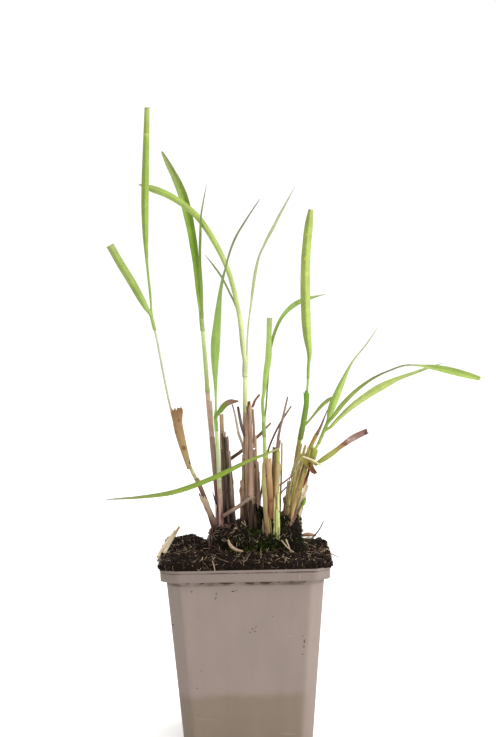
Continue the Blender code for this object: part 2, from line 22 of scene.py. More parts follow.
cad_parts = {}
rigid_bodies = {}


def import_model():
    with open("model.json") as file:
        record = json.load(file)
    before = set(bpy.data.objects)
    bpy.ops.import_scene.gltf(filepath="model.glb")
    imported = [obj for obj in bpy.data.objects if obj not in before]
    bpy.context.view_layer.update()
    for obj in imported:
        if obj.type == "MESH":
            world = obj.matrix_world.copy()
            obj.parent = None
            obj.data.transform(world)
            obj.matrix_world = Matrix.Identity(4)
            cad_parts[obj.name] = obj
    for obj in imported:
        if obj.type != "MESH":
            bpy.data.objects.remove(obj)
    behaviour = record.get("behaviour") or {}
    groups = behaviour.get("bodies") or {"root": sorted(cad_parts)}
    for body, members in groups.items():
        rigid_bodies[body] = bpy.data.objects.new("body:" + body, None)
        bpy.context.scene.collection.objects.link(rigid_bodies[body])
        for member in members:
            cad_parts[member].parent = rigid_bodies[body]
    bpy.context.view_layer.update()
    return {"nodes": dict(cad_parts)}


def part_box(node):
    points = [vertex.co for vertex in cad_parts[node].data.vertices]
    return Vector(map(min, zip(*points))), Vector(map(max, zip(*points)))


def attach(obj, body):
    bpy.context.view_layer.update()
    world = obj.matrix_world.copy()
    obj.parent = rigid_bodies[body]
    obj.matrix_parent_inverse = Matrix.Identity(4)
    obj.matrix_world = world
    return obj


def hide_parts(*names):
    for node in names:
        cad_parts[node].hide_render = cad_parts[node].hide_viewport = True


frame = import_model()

bl_info = {
    "name": "Potted ornamental grass",
    "version": (1, 0, 0),
    "blender": (4, 5, 0),
    "location": "3D View > Sidebar > Grass",
    "description": "Grows the looks of a potted grass clump around its packed model",
    "category": "Add Mesh",
}

MM = 0.001
BODY = "root"
FRONT = Vector((0, -1, 0))
POT_LOW, POT_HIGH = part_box("pot")
RIM_HALF = POT_HIGH.x / MM
POT_TOP = POT_HIGH.z / MM

# How much less light fresh tissue sends back than its colour under a bright studio light.
REFLECTANCE = 0.86


def linear(hex_colour, share=1.0):
    """Linear RGBA of an sRGB hex colour, darkened to a share of itself."""
    parts = [int(hex_colour[i:i + 2], 16) / 255 for i in (1, 3, 5)]
    parts = [c / 12.92 if c <= 0.04045 else ((c + 0.055) / 1.055) ** 2.4 for c in parts]
    return (*[c * share for c in parts], 1.0)


def swatch(hex_colour):
    """The same colour as the three numbers that a colour property holds."""
    return linear(hex_colour)[:3]


# ---------------------------------------------------------------- tables of growth

# Culms, stubs and dead stalks.
# stops: colour along the strand from foot to tip. nodes: share of the length where a
# joint swells. wraps: number of old sheath layers. layers: their colours.
STALKS = {
    "culm_a": dict(
        stops=[(0, "#6E4A3C"), (0.06, "#9A7458"), (0.14, "#B59A76"), (0.24, "#C0B48A"),
               (0.36, "#A8A662"), (0.5, "#AAB26C"), (0.575, "#B0A078"), (0.6, "#B9A68C"),
               (0.66, "#ADB096"), (1, "#B3BC8E")],
        nodes=(0.3, 0.585), wraps=2, reach=(0.12, 0.3), layers=("#BCA080", "#8E6A56"),
        girth=((0, 1), (0.55, 1), (0.62, 0.92), (1, 0.95))),
    "culm_b": dict(
        stops=[(0, "#7A4A48"), (0.08, "#A2726A"), (0.22, "#B59486"), (0.4, "#C0A890"),
               (0.6, "#C4A78E"), (0.655, "#B9A07C"), (0.675, "#929E5A"), (0.76, "#A5B46E"),
               (1, "#B9CA80")],
        nodes=(0.68,), wraps=2, reach=(0.3, 0.66), layers=("#BCA28C", "#A58A76")),
    "culm_c": dict(
        stops=[(0, "#8A5A54"), (0.1, "#B48680"), (0.24, "#C0A698"), (0.42, "#BDB898"),
               (0.58, "#B7C290"), (1, "#A9C27A")],
        nodes=(0.5,), wraps=1, reach=(0.2, 0.45), layers=("#BCA090",)),
    # culm_d: its near-black lower part is painted shade at the bottom of the brown bundle.
    "culm_d": dict(
        stops=[(0, "#2E211A"), (0.16, "#4A372B"), (0.36, "#8A6A50"), (0.56, "#B3946E"),
               (0.66, "#A8A062"), (0.75, "#B9C380"), (0.9, "#CBD69A"), (1, "#D0DAA2")],
        nodes=(0.67,), wraps=4, reach=(0.45, 0.72), layers=("#BC9A80", "#AE8460", "#9C9A5C")),
    "culm_e": dict(
        stops=[(0, "#8A6040"), (0.15, "#9A7A48"), (0.4, "#A39A52"), (0.58, "#A6B257"),
               (0.8, "#9DB65C"), (1, "#93B355")],
        nodes=(0.62,), wraps=1, reach=(0.3, 0.55), layers=("#A98A5A",)),
    "culm_f": dict(
        stops=[(0, "#9A7A52"), (0.12, "#B09C62"), (0.3, "#B3A863"), (0.44, "#A0AC50"),
               (0.6, "#8DAF44"), (0.8, "#97B657"), (1, "#8CAA50")],
        nodes=(0.33, 0.62), wraps=2, reach=(0.25, 0.55), layers=("#B3985E", "#C3B274")),
    "culm_g": dict(
        stops=[(0, "#94705A"), (0.14, "#B5A266"), (0.4, "#B9B85E"), (0.7, "#A9BE58"),
               (1, "#9DBB54")],
        nodes=(0.45,), wraps=2, reach=(0.3, 0.6), layers=("#C2AC74", "#9A7C4C")),
    "culm_h_olive": dict(
        stops=[(0, "#B5AE66"), (0.12, "#CFD486"), (0.36, "#CDCF80"), (0.5, "#AFA864"),
               (0.8, "#A8A250"), (1, "#A3A650")],
        nodes=(0.42,), wraps=1, reach=(0.75, 0.9), layers=("#B5A070",), hollow=True),
    "stub_l_tan": dict(
        stops=[(0, "#4A3834"), (0.2, "#6E564C"), (0.5, "#8E7464"), (0.75, "#AA8E76"),
               (1, "#B99A80")],
        nodes=(0.55,), wraps=3, reach=(0.4, 0.97), layers=("#B89A82", "#7C6258", "#A58A76"),
        hollow=True),
    "stub_l_purple": dict(
        stops=[(0, "#33282A"), (0.3, "#5A4A48"), (0.6, "#80706A"), (1, "#9C8478")],
        nodes=(0.5,), wraps=3, reach=(0.4, 0.95), layers=("#8E7A72", "#625048", "#A38A7C"),
        hollow=True),
    "stub_l_dark": dict(
        stops=[(0, "#221A14"), (0.4, "#3C3020"), (0.7, "#57482E"), (1, "#4A3A30")],
        nodes=(), wraps=2, reach=(0.5, 0.9), layers=("#4A4028", "#2E241C"), hollow=True),
    # stub_d_left, stub_d_mid, stub_d_right: their near-black feet are painted shade at the bottom of the brown
    # bundle.
    "stub_d_left": dict(
        stops=[(0, "#2C2018"), (0.3, "#5A4434"), (0.6, "#9A7A54"), (0.85, "#B0966A"),
               (1, "#BDA082")],
        nodes=(0.6,), wraps=4, reach=(0.5, 0.98), layers=("#B08462", "#9C9258", "#BC9A7A"),
        hollow=True),
    "stub_d_mid": dict(
        stops=[(0, "#2A1E16"), (0.25, "#5A4232"), (0.55, "#9C7450"), (0.8, "#B48E68"),
               (1, "#C3A28A")],
        nodes=(0.55,), wraps=4, reach=(0.5, 0.98), layers=("#B58A64", "#94704E", "#C6A48C"),
        hollow=True),
    "stub_d_right": dict(
        stops=[(0, "#33261E"), (0.3, "#6A5040"), (0.6, "#A08470"), (1, "#C0A38E")],
        nodes=(0.5,), wraps=3, reach=(0.4, 0.96), layers=("#B8957C", "#8A6A56", "#CDB09A"),
        hollow=True),
    "stub_h_brown": dict(
        stops=[(0, "#33241C"), (0.3, "#6A4A34"), (0.6, "#94764A"), (1, "#7C6046")],
        nodes=(0.45,), wraps=2, reach=(0.5, 0.95), layers=("#8E7048", "#6A4E3A"), hollow=True),
    "stub_h_thin": dict(
        stops=[(0, "#8A7A58"), (0.5, "#AFA678"), (1, "#A89C80")],
        nodes=(), wraps=0, reach=(0.4, 0.8), layers=(), hollow=True),
    "dead_h_tall": dict(
        stops=[(0, "#4A362C"), (0.3, "#7A5C50"), (0.6, "#8A6A60"), (0.85, "#A08078"),
               (1, "#93786C")],
        nodes=(0.4, 0.7), wraps=1, reach=(0.4, 0.7), layers=("#9A7A6C",)),
    "dead_h_fine": dict(
        stops=[(0, "#33281F"), (0.4, "#54453A"), (0.8, "#6C5A4C"), (1, "#7A6A58")],
        nodes=(0.6,), wraps=0, reach=(0.4, 0.8), layers=()),
    "stub_g_pink": dict(
        stops=[(0, "#8C524C"), (0.25, "#B0766C"), (0.5, "#B08E6C"), (1, "#B7A070")],
        nodes=(0.7,), wraps=2, reach=(0.5, 0.95), layers=("#B88A78", "#A08A58"), hollow=True),
    "stub_g_olive": dict(
        stops=[(0, "#A08A58"), (0.3, "#B5A868"), (0.6, "#B9B45E"), (1, "#A8A04C")],
        nodes=(0.5,), wraps=3, reach=(0.4, 0.96), layers=("#BDAE6C", "#8A6E3E", "#C6BC7C"),
        hollow=True),
    "stub_g_pale": dict(
        stops=[(0, "#A88E6C"), (0.4, "#CDB596"), (1, "#D6BCA6")],
        nodes=(), wraps=2, reach=(0.5, 0.95), layers=("#D9BFA8", "#B98C7C"), hollow=True),
    "straw_front": dict(
        stops=[(0, "#8E7264"), (0.5, "#A88E7C"), (1, "#BCA28C")], girth=((0, 1.2), (1, 1.45)),
        nodes=(), wraps=1, reach=(0.6, 0.95), layers=("#A88C78",), hollow=True),
    "straw_back": dict(
        stops=[(0, "#6A5040"), (0.4, "#8A6E5A"), (1, "#A98E7C")],
        nodes=(0.5,), wraps=1, reach=(0.5, 0.9), layers=("#8E705C",), hollow=True),
    "straw_soil": dict(
        stops=[(0, "#CDB090"), (0.3, "#E6D3B2"), (1, "#F0E8CE")],
        nodes=(), wraps=1, reach=(0.5, 0.9), layers=("#EAD9BA",), hollow=True),
}

# Leaf blades. fold: degrees that each half leans back from the keel, negative where
# the keel is behind. tip: "cut" or "point". curl: degrees that the section rolls
# at the foot and at the tip. marks: (share, across, radius, colour) of spots.
# half_shades: painted light and painted shade, a tone for the left and the right half of the blade.
BLADES = {
    "blade_a_tall": dict(
        stops=[(0, "#A6BE68"), (0.2, "#97B04E"), (0.6, "#93AB46"), (0.9, "#9BB350"),
               (1, "#AEBB70")], fold=24, tip="cut", wave=0.25, half_shades=(0.9, 1.08),
        waist=((0, 0.75), (0.14, 0.7), (0.26, 0.76), (0.4, 0.98), (1, 1.02)), light=1.04,
        marks=[(0.87, -0.5, 0.5, "#C6D48C"), (0.87, 0, 0.5, "#C6D48C"), (0.87, 0.5, 0.5, "#C6D48C")]),
    "blade_a_cut": dict(
        stops=[(0, "#9DB75A"), (0.4, "#9CB456"), (0.93, "#A2B460"), (1, "#AEB67C")],
        fold=20, tip="cut", wave=0.2, half_shades=(0.94, 1.05)),
    "blade_b_long": dict(
        stops=[(0, "#A9BE6C"), (0.16, "#84A22E"), (0.4, "#6F921C"), (0.62, "#82A032"),
               (0.82, "#98AC5A"), (1, "#A5AE80")], fold=-26, tip="point", wave=0.35,
        half_shades=(1.16, 0.9), blunt=1.2, light=1.06, waist=((0, 1), (0.85, 1), (1, 1.6))),
    "blade_b_thin": dict(
        stops=[(0, "#93AA58"), (0.5, "#7F9A42"), (0.85, "#8CA45C"), (1, "#9A9E7E")],
        fold=18, tip="point", wave=0.2),
    "blade_c_long": dict(
        stops=[(0, "#ABC673"), (0.25, "#9ABA58"), (0.45, "#98B65A"), (0.65, "#98AC70"),
               (1, "#99A080")], fold=24, tip="point", wave=0.3, half_shades=(1.1, 0.9),
        waist=((0, 0.9), (0.35, 1.04), (0.6, 0.85), (1, 0.8)), light=0.99),
    "blade_c_short": dict(
        stops=[(0, "#86A544"), (0.3, "#7F9E3A"), (0.55, "#86963E"), (0.68, "#A0806A"),
               (0.85, "#94705E"), (1, "#7A5A4A")], fold=14, tip="cut", wave=0.5,
        curl=(10, 90), waist=((0, 1), (0.3, 1.25), (0.6, 1.4), (1, 1.2))),
    "blade_d_arching": dict(
        stops=[(0, "#CCD69E"), (0.3, "#C0CD88"), (0.6, "#AFC269"), (0.9, "#A8BF62"),
               (1, "#B0B880")], fold=20, tip="point", wave=0.3, half_shades=(0.93, 1.07), light=1.06),
    "blade_d_thin": dict(
        stops=[(0, "#93A95E"), (0.5, "#86A04E"), (1, "#97A276")],
        fold=16, tip="point", wave=0.2),
    "blade_d_right": dict(
        stops=[(0, "#C6D3A0"), (0.4, "#BCC994"), (1, "#B4BE9C")],
        fold=18, tip="point", wave=0.25,
        waist=((0, 0.8), (0.2, 0.75), (0.5, 0.85), (1, 0.9)), light=1.1),
    "blade_e_cut": dict(
        stops=[(0, "#9AB654"), (0.3, "#A8C462"), (0.9, "#ACC46A"), (1, "#ADB474")],
        fold=26, tip="cut", wave=0.2, half_shades=(1.1, 0.9), light=1.05),
    "blade_e_arching": dict(
        stops=[(0, "#8EA954"), (0.5, "#96B351"), (0.8, "#9CB85C"), (1, "#93A676")],
        fold=-18, tip="point", wave=0.3),
    "blade_f_broad": dict(
        stops=[(0, "#92B048"), (0.15, "#A5BB5A"), (0.6, "#AFC162"), (0.9, "#A9BC5C"),
               (1, "#AEB472")], fold=30, tip="cut", wave=0.22, half_shades=(0.88, 1.1),
        waist=((0, 1), (0.8, 1), (1, 1.25)),
        marks=[(0.84, -0.2, 0.7, "#DCD464"), (0.69, -0.15, 0.7, "#DCD264"),
               (0.6, 0.25, 0.5, "#DAD468"), (0.4, 0.35, 0.4, "#C8C468")]),
    "blade_f_side": dict(
        stops=[(0, "#8CA84C"), (0.5, "#98AE54"), (0.8, "#8A9A50"), (1, "#9CA67A")], fold=18,
        tip="point", wave=0.5, waist=((0, 0.8), (0.3, 0.7), (0.7, 0.85), (1, 0.8))),
    "blade_g_upright": dict(
        stops=[(0, "#9AB554"), (0.25, "#A5BE5C"), (0.6, "#AABD74"), (1, "#B4BFA0")],
        fold=22, tip="point", wave=0.3, half_shades=(0.94, 1.08), light=1.08,
        waist=((0, 1), (0.4, 0.98), (0.6, 0.85), (1, 0.9))),
    "blade_g_folded": dict(
        stops=[(0, "#90AC4A"), (0.25, "#98AE54"), (0.45, "#868F58"), (0.56, "#8E9A62"),
               (0.61, "#A5B87A"), (0.66, "#B9CB82"), (0.75, "#A8C260"), (1, "#AEC36A")],
        fold=-30, tip="cut", wave=0.3, half_shades=(0.93, 1.1), light=1.03,
        waist=((0, 0.9), (0.15, 0.8), (0.35, 0.64), (0.55, 0.54), (0.62, 0.48), (0.72, 0.95), (1, 1))),
    "blade_g_drooping": dict(
        stops=[(0, "#A5BC5E"), (0.3, "#BAC876"), (0.6, "#B2C46C"), (1, "#9FB470")],
        fold=18, tip="point", wave=0.3),
    "blade_g_brown_tip": dict(
        stops=[(0, "#AEBB55"), (0.35, "#B7BC60"), (0.5, "#B9A56A"), (0.6, "#9C6A58"),
               (0.7, "#BCA298"), (0.82, "#A98A80"), (0.95, "#A07468"), (1, "#5C3C34")],
        fold=16, tip="cut", wave=0.8, curl=(10, 60),
        marks=[(0.97, 0.6, 1.1, "#4A2E28"), (0.6, 0.5, 0.9, "#8A4A3C"),
               (0.68, -0.3, 0.6, "#E0D8CE"), (0.76, 0.4, 0.5, "#DCD2C8"),
               (0.56, -0.6, 0.5, "#7A4436")]),
    "blade_j_low": dict(
        stops=[(0, "#A9A868"), (0.12, "#98A84E"), (0.35, "#87A232"), (0.6, "#8BA23E"),
               (0.85, "#92A05A"), (0.95, "#9CA080"), (1, "#98928A")], fold=16, tip="point",
        wave=0.35, half_shades=(1.08, 0.93), light=1.05),
}

# Dry and withered leaves: thin strips that have rolled, twisted or torn.
DRY_LEAVES = {
    "leaf_g_withered": dict(
        stops=[(0, "#9CA64A"), (0.3, "#ABA848"), (0.5, "#C09C50"), (0.66, "#8E7060"),
               (1, "#5E5050")], curl=(30, 150), tip="point", wave=0.5,
        marks=[(0.6, 0.3, 0.8, "#4A3A40")]),
    "leaf_g_brown": dict(
        stops=[(0, "#86523A"), (0.5, "#5C3426"), (1, "#3A2018")], curl=(120, 230), tip="cut",
        wave=0.9),
    "leaf_d_red": dict(
        stops=[(0, "#AB8672"), (0.4, "#A67A62"), (0.8, "#95644A"), (1, "#7A4A34")],
        curl=(40, 160), tip="cut", wave=0.7, marks=[(0.35, 0.2, 0.9, "#5E4034")]),
    "leaf_d_bent": dict(
        stops=[(0, "#8E6A50"), (0.5, "#A9764E"), (1, "#86583C")], curl=(60, 150), tip="cut",
        wave=0.6),
    "leaf_d_strip": dict(
        stops=[(0, "#B5967C"), (0.5, "#C2A388"), (1, "#A9896E")], curl=(40, 130), tip="cut",
        wave=0.5),
    "leaf_d_pale": dict(
        stops=[(0, "#A08470"), (0.5, "#C8B5A2"), (0.8, "#BCA896"), (1, "#5E4A3C")],
        curl=(40, 200), tip="cut", wave=0.7),
    "leaf_d_grey": dict(
        stops=[(0, "#6E5A50"), (0.5, "#93807A"), (1, "#57463E")], curl=(30, 160), tip="cut",
        wave=0.7),
}

# Husks: old sheaths cupped round the front of a culm.
HUSKS = {
    "husk_a": dict(
        stops=[(0, "#A59468"), (0.35, "#A68C60"), (0.8, "#A08058"), (1, "#94704E")],
        marks=[(0.35, 0.1, 1.1, "#70442E"), (0.62, -0.6, 0.6, "#60422E"),
               (0.1, 0.8, 0.9, "#4C3028"), (0.8, 0.3, 0.7, "#7A5238")], flare=1.6, side=1),
    "husk_a_low": dict(
        stops=[(0, "#5E443C"), (0.3, "#8E7462"), (0.7, "#B09A80"), (1, "#C3AE90")],
        marks=[(0.3, 0.7, 0.9, "#4E3630"), (0.6, -0.5, 0.6, "#7A5A4A")], flare=0.7, side=-1),
    "husk_e": dict(
        stops=[(0, "#8E5C40"), (0.25, "#94684A"), (0.5, "#A8825A"), (1, "#C3A27C")],
        marks=[(0.72, -0.7, 0.6, "#2E201A"), (0.3, 0.1, 1.0, "#7C4C36")], flare=0.8, side=1),
    "husk_f": dict(
        stops=[(0, "#86913C"), (0.4, "#84A53A"), (1, "#76A434")], marks=[], flare=0.5, side=-1),
    "husk_g": dict(
        stops=[(0, "#B0A058"), (0.4, "#A8A84C"), (0.8, "#A3B04C"), (1, "#B5B560")],
        marks=[(0.5, 0.2, 0.6, "#6A5A34"), (0.8, -0.4, 0.5, "#7C6A40")], flare=0.8, side=-1),
}

# Strips of old sheath that stand in front of each tuft. rows: (height, left, right, depth,
# how far the middle stands forward); reach: shortest and longest share of the height.
TUFTS = {
    # strips_d: its near-black foot is painted shade at the bottom of the brown bundle.
    "strips_d": dict(
        rows=[(108, -1.6, 8.6, -6.6, 5.1), (130, -1.2, 8.7, -6.4, 4.9), (150, -0.2, 8.2, -5.4, 4.2),
              (168, 0.8, 7.4, -2.6, 3.0), (182, 1.4, 6.6, -1.5, 1.5)],
        count=10, reach=(0.5, 1.0), half=1.05, foot="#241B15",
        colours=("#C0A088", "#CDB09A", "#A8886E", "#B8855A", "#ACA070", "#C69C88", "#8E705C")),
    # Painted shade: these near-black strips stand for the shade deep in the brown bundle.
    "strips_d_dark": dict(
        rows=[(104, -5.6, 12.6, -7.6, 5.4), (117, -3.2, 11, -7.2, 5.2), (131, -1.6, 9.4, -6.4, 5.0)],
        count=11, reach=(0.4, 0.95), half=1.1, foot="#16100C",
        colours=("#3A2A20", "#4A372A", "#2A1E18", "#5A4636")),
    "strips_l": dict(
        rows=[(108, -9.6, -3.6, -4.4, 2.5), (130, -10.4, -4.8, -4.1, 2.3),
              (150, -11.2, -6.2, -3.2, 1.8), (164, -12, -7.4, -2.4, 1.4)],
        count=6, reach=(0.55, 1.0), half=0.8, foot="#2A2020",
        colours=("#5E4C44", "#3E322C", "#8E786C", "#B59C88", "#6A5E36")),
    "strips_b": dict(
        rows=[(105, -16.4, -10.4, -5.4, 2.5), (125, -16.2, -11.4, -6.2, 2.1),
              (145, -16.2, -12.4, -7, 1.6)],
        count=3, reach=(0.35, 0.8), half=0.8, foot="#4A2E2C",
        colours=("#B08A80", "#8A625A", "#C3A89A")),
    "strips_e": dict(
        rows=[(103, 9.4, 15.8, -15.9, 2.9), (120, 9.4, 14, -14.9, 2.6), (135, 9.3, 13.4, -13.5, 2.4),
              (152, 9.6, 13, -12.3, 1.6)],
        count=6, reach=(0.3, 1.0), half=0.95, foot="#7A5038",
        colours=("#C2A47C", "#B08E64", "#D2BC98", "#9A7650", "#B8B070")),
    "strips_h": dict(
        rows=[(103, 14.6, 19.6, -16.6, 2.4), (122, 15, 19.3, -15.6, 2.3), (138, 16, 20, -13.8, 2.0)],
        count=3, reach=(0.5, 0.95), half=1.1, foot="#B0A460",
        colours=("#CFD487", "#C3C776", "#D8DA9A")),
    "strips_g": dict(
        rows=[(108, 21.4, 25.6, -10.6, 2.2), (120, 21.8, 28.4, -10.8, 3.0),
              (130, 22.6, 31.8, -10.8, 3.2), (140, 25, 34.6, -10.5, 3.0),
              (150, 28.6, 37.2, -9.8, 2.4), (158, 31.6, 38.6, -9, 2)],
        count=14, reach=(0.4, 1.0), half=0.72, foot="#9A7262",
        colours=("#CDC284", "#B7AE5E", "#B08C5C", "#8A6440", "#D8CFA6", "#A8A64C", "#B98E78",
                 "#6A4632", "#C3B06E")),
}

# The torn knot where the right tuft's leaves part.
KNOT = dict(
    points=[(30.6, -14.2, 151, 1.2), (33.2, -14.6, 149, 2.0), (36.4, -14.4, 144.5, 1.5),
            (38, -14, 141, 0.7)],
    stops=[(0, "#A9A650"), (0.45, "#9C8C46"), (0.7, "#8A5E3C"), (1, "#6A4030")],
    marks=[(0.5, 0.2, 0.7, "#33201A")], flare=0.9, side=1)

def beside(node, points):
    """Guide points placed by a CAD node's box: 0 is its low side and 1 its high side."""
    low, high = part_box(node)
    return [tuple((low[i] + (high[i] - low[i]) * point[i]) / MM for i in range(3)) + point[3:]
            for point in points]


# Fine stray pieces that no CAD node stands for: (x, y, z, diameter) guide points.
STRAYS = {
    "twig_soil_right": ("#5C4A3E", beside("compost", [
        (0.9, 0.66, 1.0, 1), (0.93, 0.66, 1.02, 0.9), (0.98, 0.66, 1.07, 0.8), (1.01, 0.66, 1.12, 0.5)])),
    "straw_g_cream": ("#E2D3AE", beside("husk_g", [
        (-0.3, -3.5, 0.6, 1), (0.4, -3.3, 0.45, 1.1), (1.1, -3, 0.2, 0.8)])),
    "twig_g_left": ("#94705E", beside("stub_g_olive", [
        (-0.8, 0.3, 0.82, 0.8), (-0.1, 0, 0.92, 1), (0.6, -0.2, 1.05, 0.7)])),
    "twig_g_low": ("#8A6A50", [
        (18.5, -13.5, 128.5, 0.9), (20.5, -13.5, 132, 0.9), (23.5, -13.5, 135, 0.8)]),
    "spike_l_small": ("#4A3A30", beside("stub_l_tan", [
        (-0.3, 0.2, 0.15, 1.3), (-0.8, 0, 0.28, 1.1), (-1.3, -0.2, 0.37, 0.4)])),
    "stub_g_yellow": ("#B9BC62", beside("stub_g_olive", [
        (0.3, 2, 0.1, 2.1), (0.7, 2, 0.5, 2.2), (1.1, 2, 0.9, 2)])),
    "stalk_h_black": ("#2E241F", [
        (18.5, -4, 112, 1.3), (19.2, -4, 119, 1.2), (20, -4, 127, 0.7)]),
    "chip_right_pink": ("#C79C84", [
        (32.5, 33, 102, 1.8), (36, 33, 102.5, 2.6), (40, 33, 101.8, 1.4)]),
    "chip_right_pale": ("#DED2C2", [
        (33.5, 28, 100.6, 1.4), (36.5, 27, 101, 1.8), (39, 27, 100.6, 1.0)]),
    "leaf_small_green": ("#8FB04C", [
        (29.6, -2, 119.4, 0.6), (31.2, -2, 122.4, 1.0), (32.4, -2, 124.6, 2.4), (33.6, -2, 127, 1.0)]),
    "bark_curl_front": ("#BFA288", [
        (-8.8, -20.5, 107.6, 1.0), (-7.6, -23.5, 105, 1.7), (-5, -26, 103.2, 1.7),
        (-1.2, -27.5, 102.4, 1.0)]),
    "straw_front_thin": ("#CBB196", [
        (19.5, -21, 107, 0.6), (22.5, -25, 103.8, 0.7), (25.8, -28.5, 101.6, 0.5)]),
    "straw_front_short": ("#D8C2A6", [
        (22, -21, 107.4, 0.6), (23.5, -24.5, 103.6, 0.6), (24.2, -28, 101.4, 0.4)]),
    "fibre_over_rim": ("#BC9E86", [
        (-17, -41, 99.6, 0.5), (-16.2, -44.6, 98.2, 0.5), (-15.6, -45.9, 95.2, 0.4)]),
    "fibre_right": ("#8A7A6A", [
        (44, -7, 97.6, 0.5), (48, -10, 96.9, 0.5), (51.2, -12, 95.2, 0.3)]),
    "straw_soil_thin": ("#E4D2B0", [
        (-46.8, -17, 98.6, 1.7), (-43, -8, 104.5, 1.5), (-38.2, 1, 110.4, 0.6)]),
}


# ---------------------------------------------------------------- settings

class PotSettings(bpy.types.PropertyGroup):
    """The moulded pot."""

    wall: bpy.props.FloatProperty(
        name="Wall", description="Thickness of the pot's wall", default=0.9 * MM,
        min=0.0004, max=0.003, unit="LENGTH", precision=4)
    bend: bpy.props.FloatProperty(
        name="Bend", description="Softness of the bends beside each corner chamfer",
        default=0.35 * MM, min=0.0001, max=0.004, unit="LENGTH", precision=4)
    drain: bpy.props.FloatProperty(
        name="Drain hole", description="Diameter of each drain hole", default=7 * MM,
        min=0.002, max=0.012, unit="LENGTH", precision=4)
    plastic: bpy.props.FloatVectorProperty(
        name="Plastic", description="Colour of the dry plastic", subtype="COLOR",
        default=swatch("#7E7068"), min=0, max=1)
    darker_foot: bpy.props.FloatVectorProperty(
        name="Darker foot", description="Colour of the darker lower part", subtype="COLOR",
        default=swatch("#716355"), min=0, max=1)


class SoilSettings(bpy.types.PropertyGroup):
    """Compost, root ball and what lies on them."""

    relief: bpy.props.FloatProperty(
        name="Relief", description="Height of the finest lumps of the surface",
        default=1.0 * MM, min=0, max=0.004, unit="LENGTH", precision=4)
    crumbs: bpy.props.FloatProperty(
        name="Crumbs", description="Coarse peat crumbs on each square centimetre",
        default=24, min=0, max=60)
    fines: bpy.props.FloatProperty(
        name="Fines", description="Fine peat crumbs on each square centimetre",
        default=60, min=0, max=120)
    fibres: bpy.props.FloatProperty(
        name="Fibres", description="Root fibres on each square centimetre",
        default=12, min=0, max=30)
    chips: bpy.props.FloatProperty(
        name="Chips", description="Bark chips on each square centimetre",
        default=1.3, min=0, max=6)
    moss: bpy.props.FloatProperty(
        name="Moss", description="Moss shoots on each square centimetre where moss grows",
        default=120, min=0, max=300)
    peat_dark: bpy.props.FloatVectorProperty(
        name="Wet peat", description="Darkest colour of the peat", subtype="COLOR",
        default=swatch("#100A07"), min=0, max=1)
    peat_light: bpy.props.FloatVectorProperty(
        name="Dry peat", description="Lightest colour of the peat", subtype="COLOR",
        default=swatch("#21160F"), min=0, max=1)


class LeafSettings(bpy.types.PropertyGroup):
    """Living leaf blades."""

    thickness: bpy.props.FloatProperty(
        name="Thickness", description="Thickness of a blade half way to its edge",
        default=0.22 * MM, min=0.0001, max=0.0006, unit="LENGTH", precision=5)
    keel: bpy.props.FloatProperty(
        name="Keel", description="How far the midrib stands out of the blade",
        default=0.16 * MM, min=0, max=0.0006, unit="LENGTH", precision=5)
    vein: bpy.props.FloatProperty(
        name="Vein spacing", description="Distance from one parallel vein to the next",
        default=0.62 * MM, min=0.0002, max=0.002, unit="LENGTH", precision=5)
    glow: bpy.props.FloatProperty(
        name="Glow", description="Share of the light that passes through a blade",
        default=0.3, min=0, max=0.8, subtype="FACTOR")


class StalkSettings(bpy.types.PropertyGroup):
    """Culms, stubs, husks and dead leaves."""

    sides: bpy.props.IntProperty(
        name="Sides", description="Sides of a culm", default=14, min=8, max=32)
    swelling: bpy.props.FloatProperty(
        name="Swelling", description="How much a joint is thicker than its culm",
        default=0.2, min=0, max=0.6, subtype="FACTOR")
    sheath: bpy.props.FloatProperty(
        name="Sheath", description="Thickness of an old sheath layer",
        default=0.2 * MM, min=0.0001, max=0.0006, unit="LENGTH", precision=5)
    roots: bpy.props.IntProperty(
        name="Crown roots", description="Short roots that show at the foot of each culm",
        default=6, min=0, max=16)


class StageSettings(bpy.types.PropertyGroup):
    """Camera, floor and light."""

    lens: bpy.props.FloatProperty(
        name="Lens", description="Focal length in millimetres", default=75.85, min=20, max=200)
    eye: bpy.props.FloatVectorProperty(
        name="Eye", description="Place of the camera", subtype="TRANSLATION",
        default=(0.0035, -0.845, 0.223), unit="LENGTH")
    pitch: bpy.props.FloatProperty(
        name="Pitch", description="Tilt of the camera from straight down", subtype="ANGLE",
        default=math.radians(88.32))
    roll: bpy.props.FloatProperty(
        name="Roll", description="Turn of the camera about its own line of sight",
        subtype="ANGLE", default=math.radians(-1.1))
    daylight: bpy.props.FloatProperty(
        name="Daylight", description="Brightness of the white studio round the pot",
        default=1.08, min=0, max=4)
    key: bpy.props.FloatProperty(
        name="Key light", description="Power of the large soft light at the right",
        default=20.0, min=0, max=200, unit="POWER")


# ---------------------------------------------------------------- helpers

def add(tree, kind, settings=None, inputs=None):
    """Adds one node, sets it, and sets or links its inputs. stops fills a colour ramp."""
    made = tree.nodes.new(kind)
    for name, value in (settings or {}).items():
        if name == "stops":
            ramp = made.color_ramp
            while len(ramp.elements) < len(value):
                ramp.elements.new(1.0)
            for element, (place, colour) in zip(ramp.elements, value):
                element.position = place
                element.color = colour
        else:
            setattr(made, name, value)
    for socket, value in (inputs or {}).items():
        if isinstance(value, bpy.types.NodeSocket):
            tree.links.new(value, made.inputs[socket])
        else:
            made.inputs[socket].default_value = value
    return made


def grey(value):
    """A grey for a ramp that is read as a number."""
    return (value, value, value, 1.0)


def keep(name, mesh, nodes=(), smooth=True):
    """Makes the mesh a finished piece that rides on the root body."""
    piece = bpy.data.objects.new(name, mesh)
    bpy.context.scene.collection.objects.link(piece)
    mesh.polygons.foreach_set("use_smooth", [smooth] * len(mesh.polygons))
    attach(piece, BODY)
    if nodes:
        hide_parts(*nodes)
    return piece


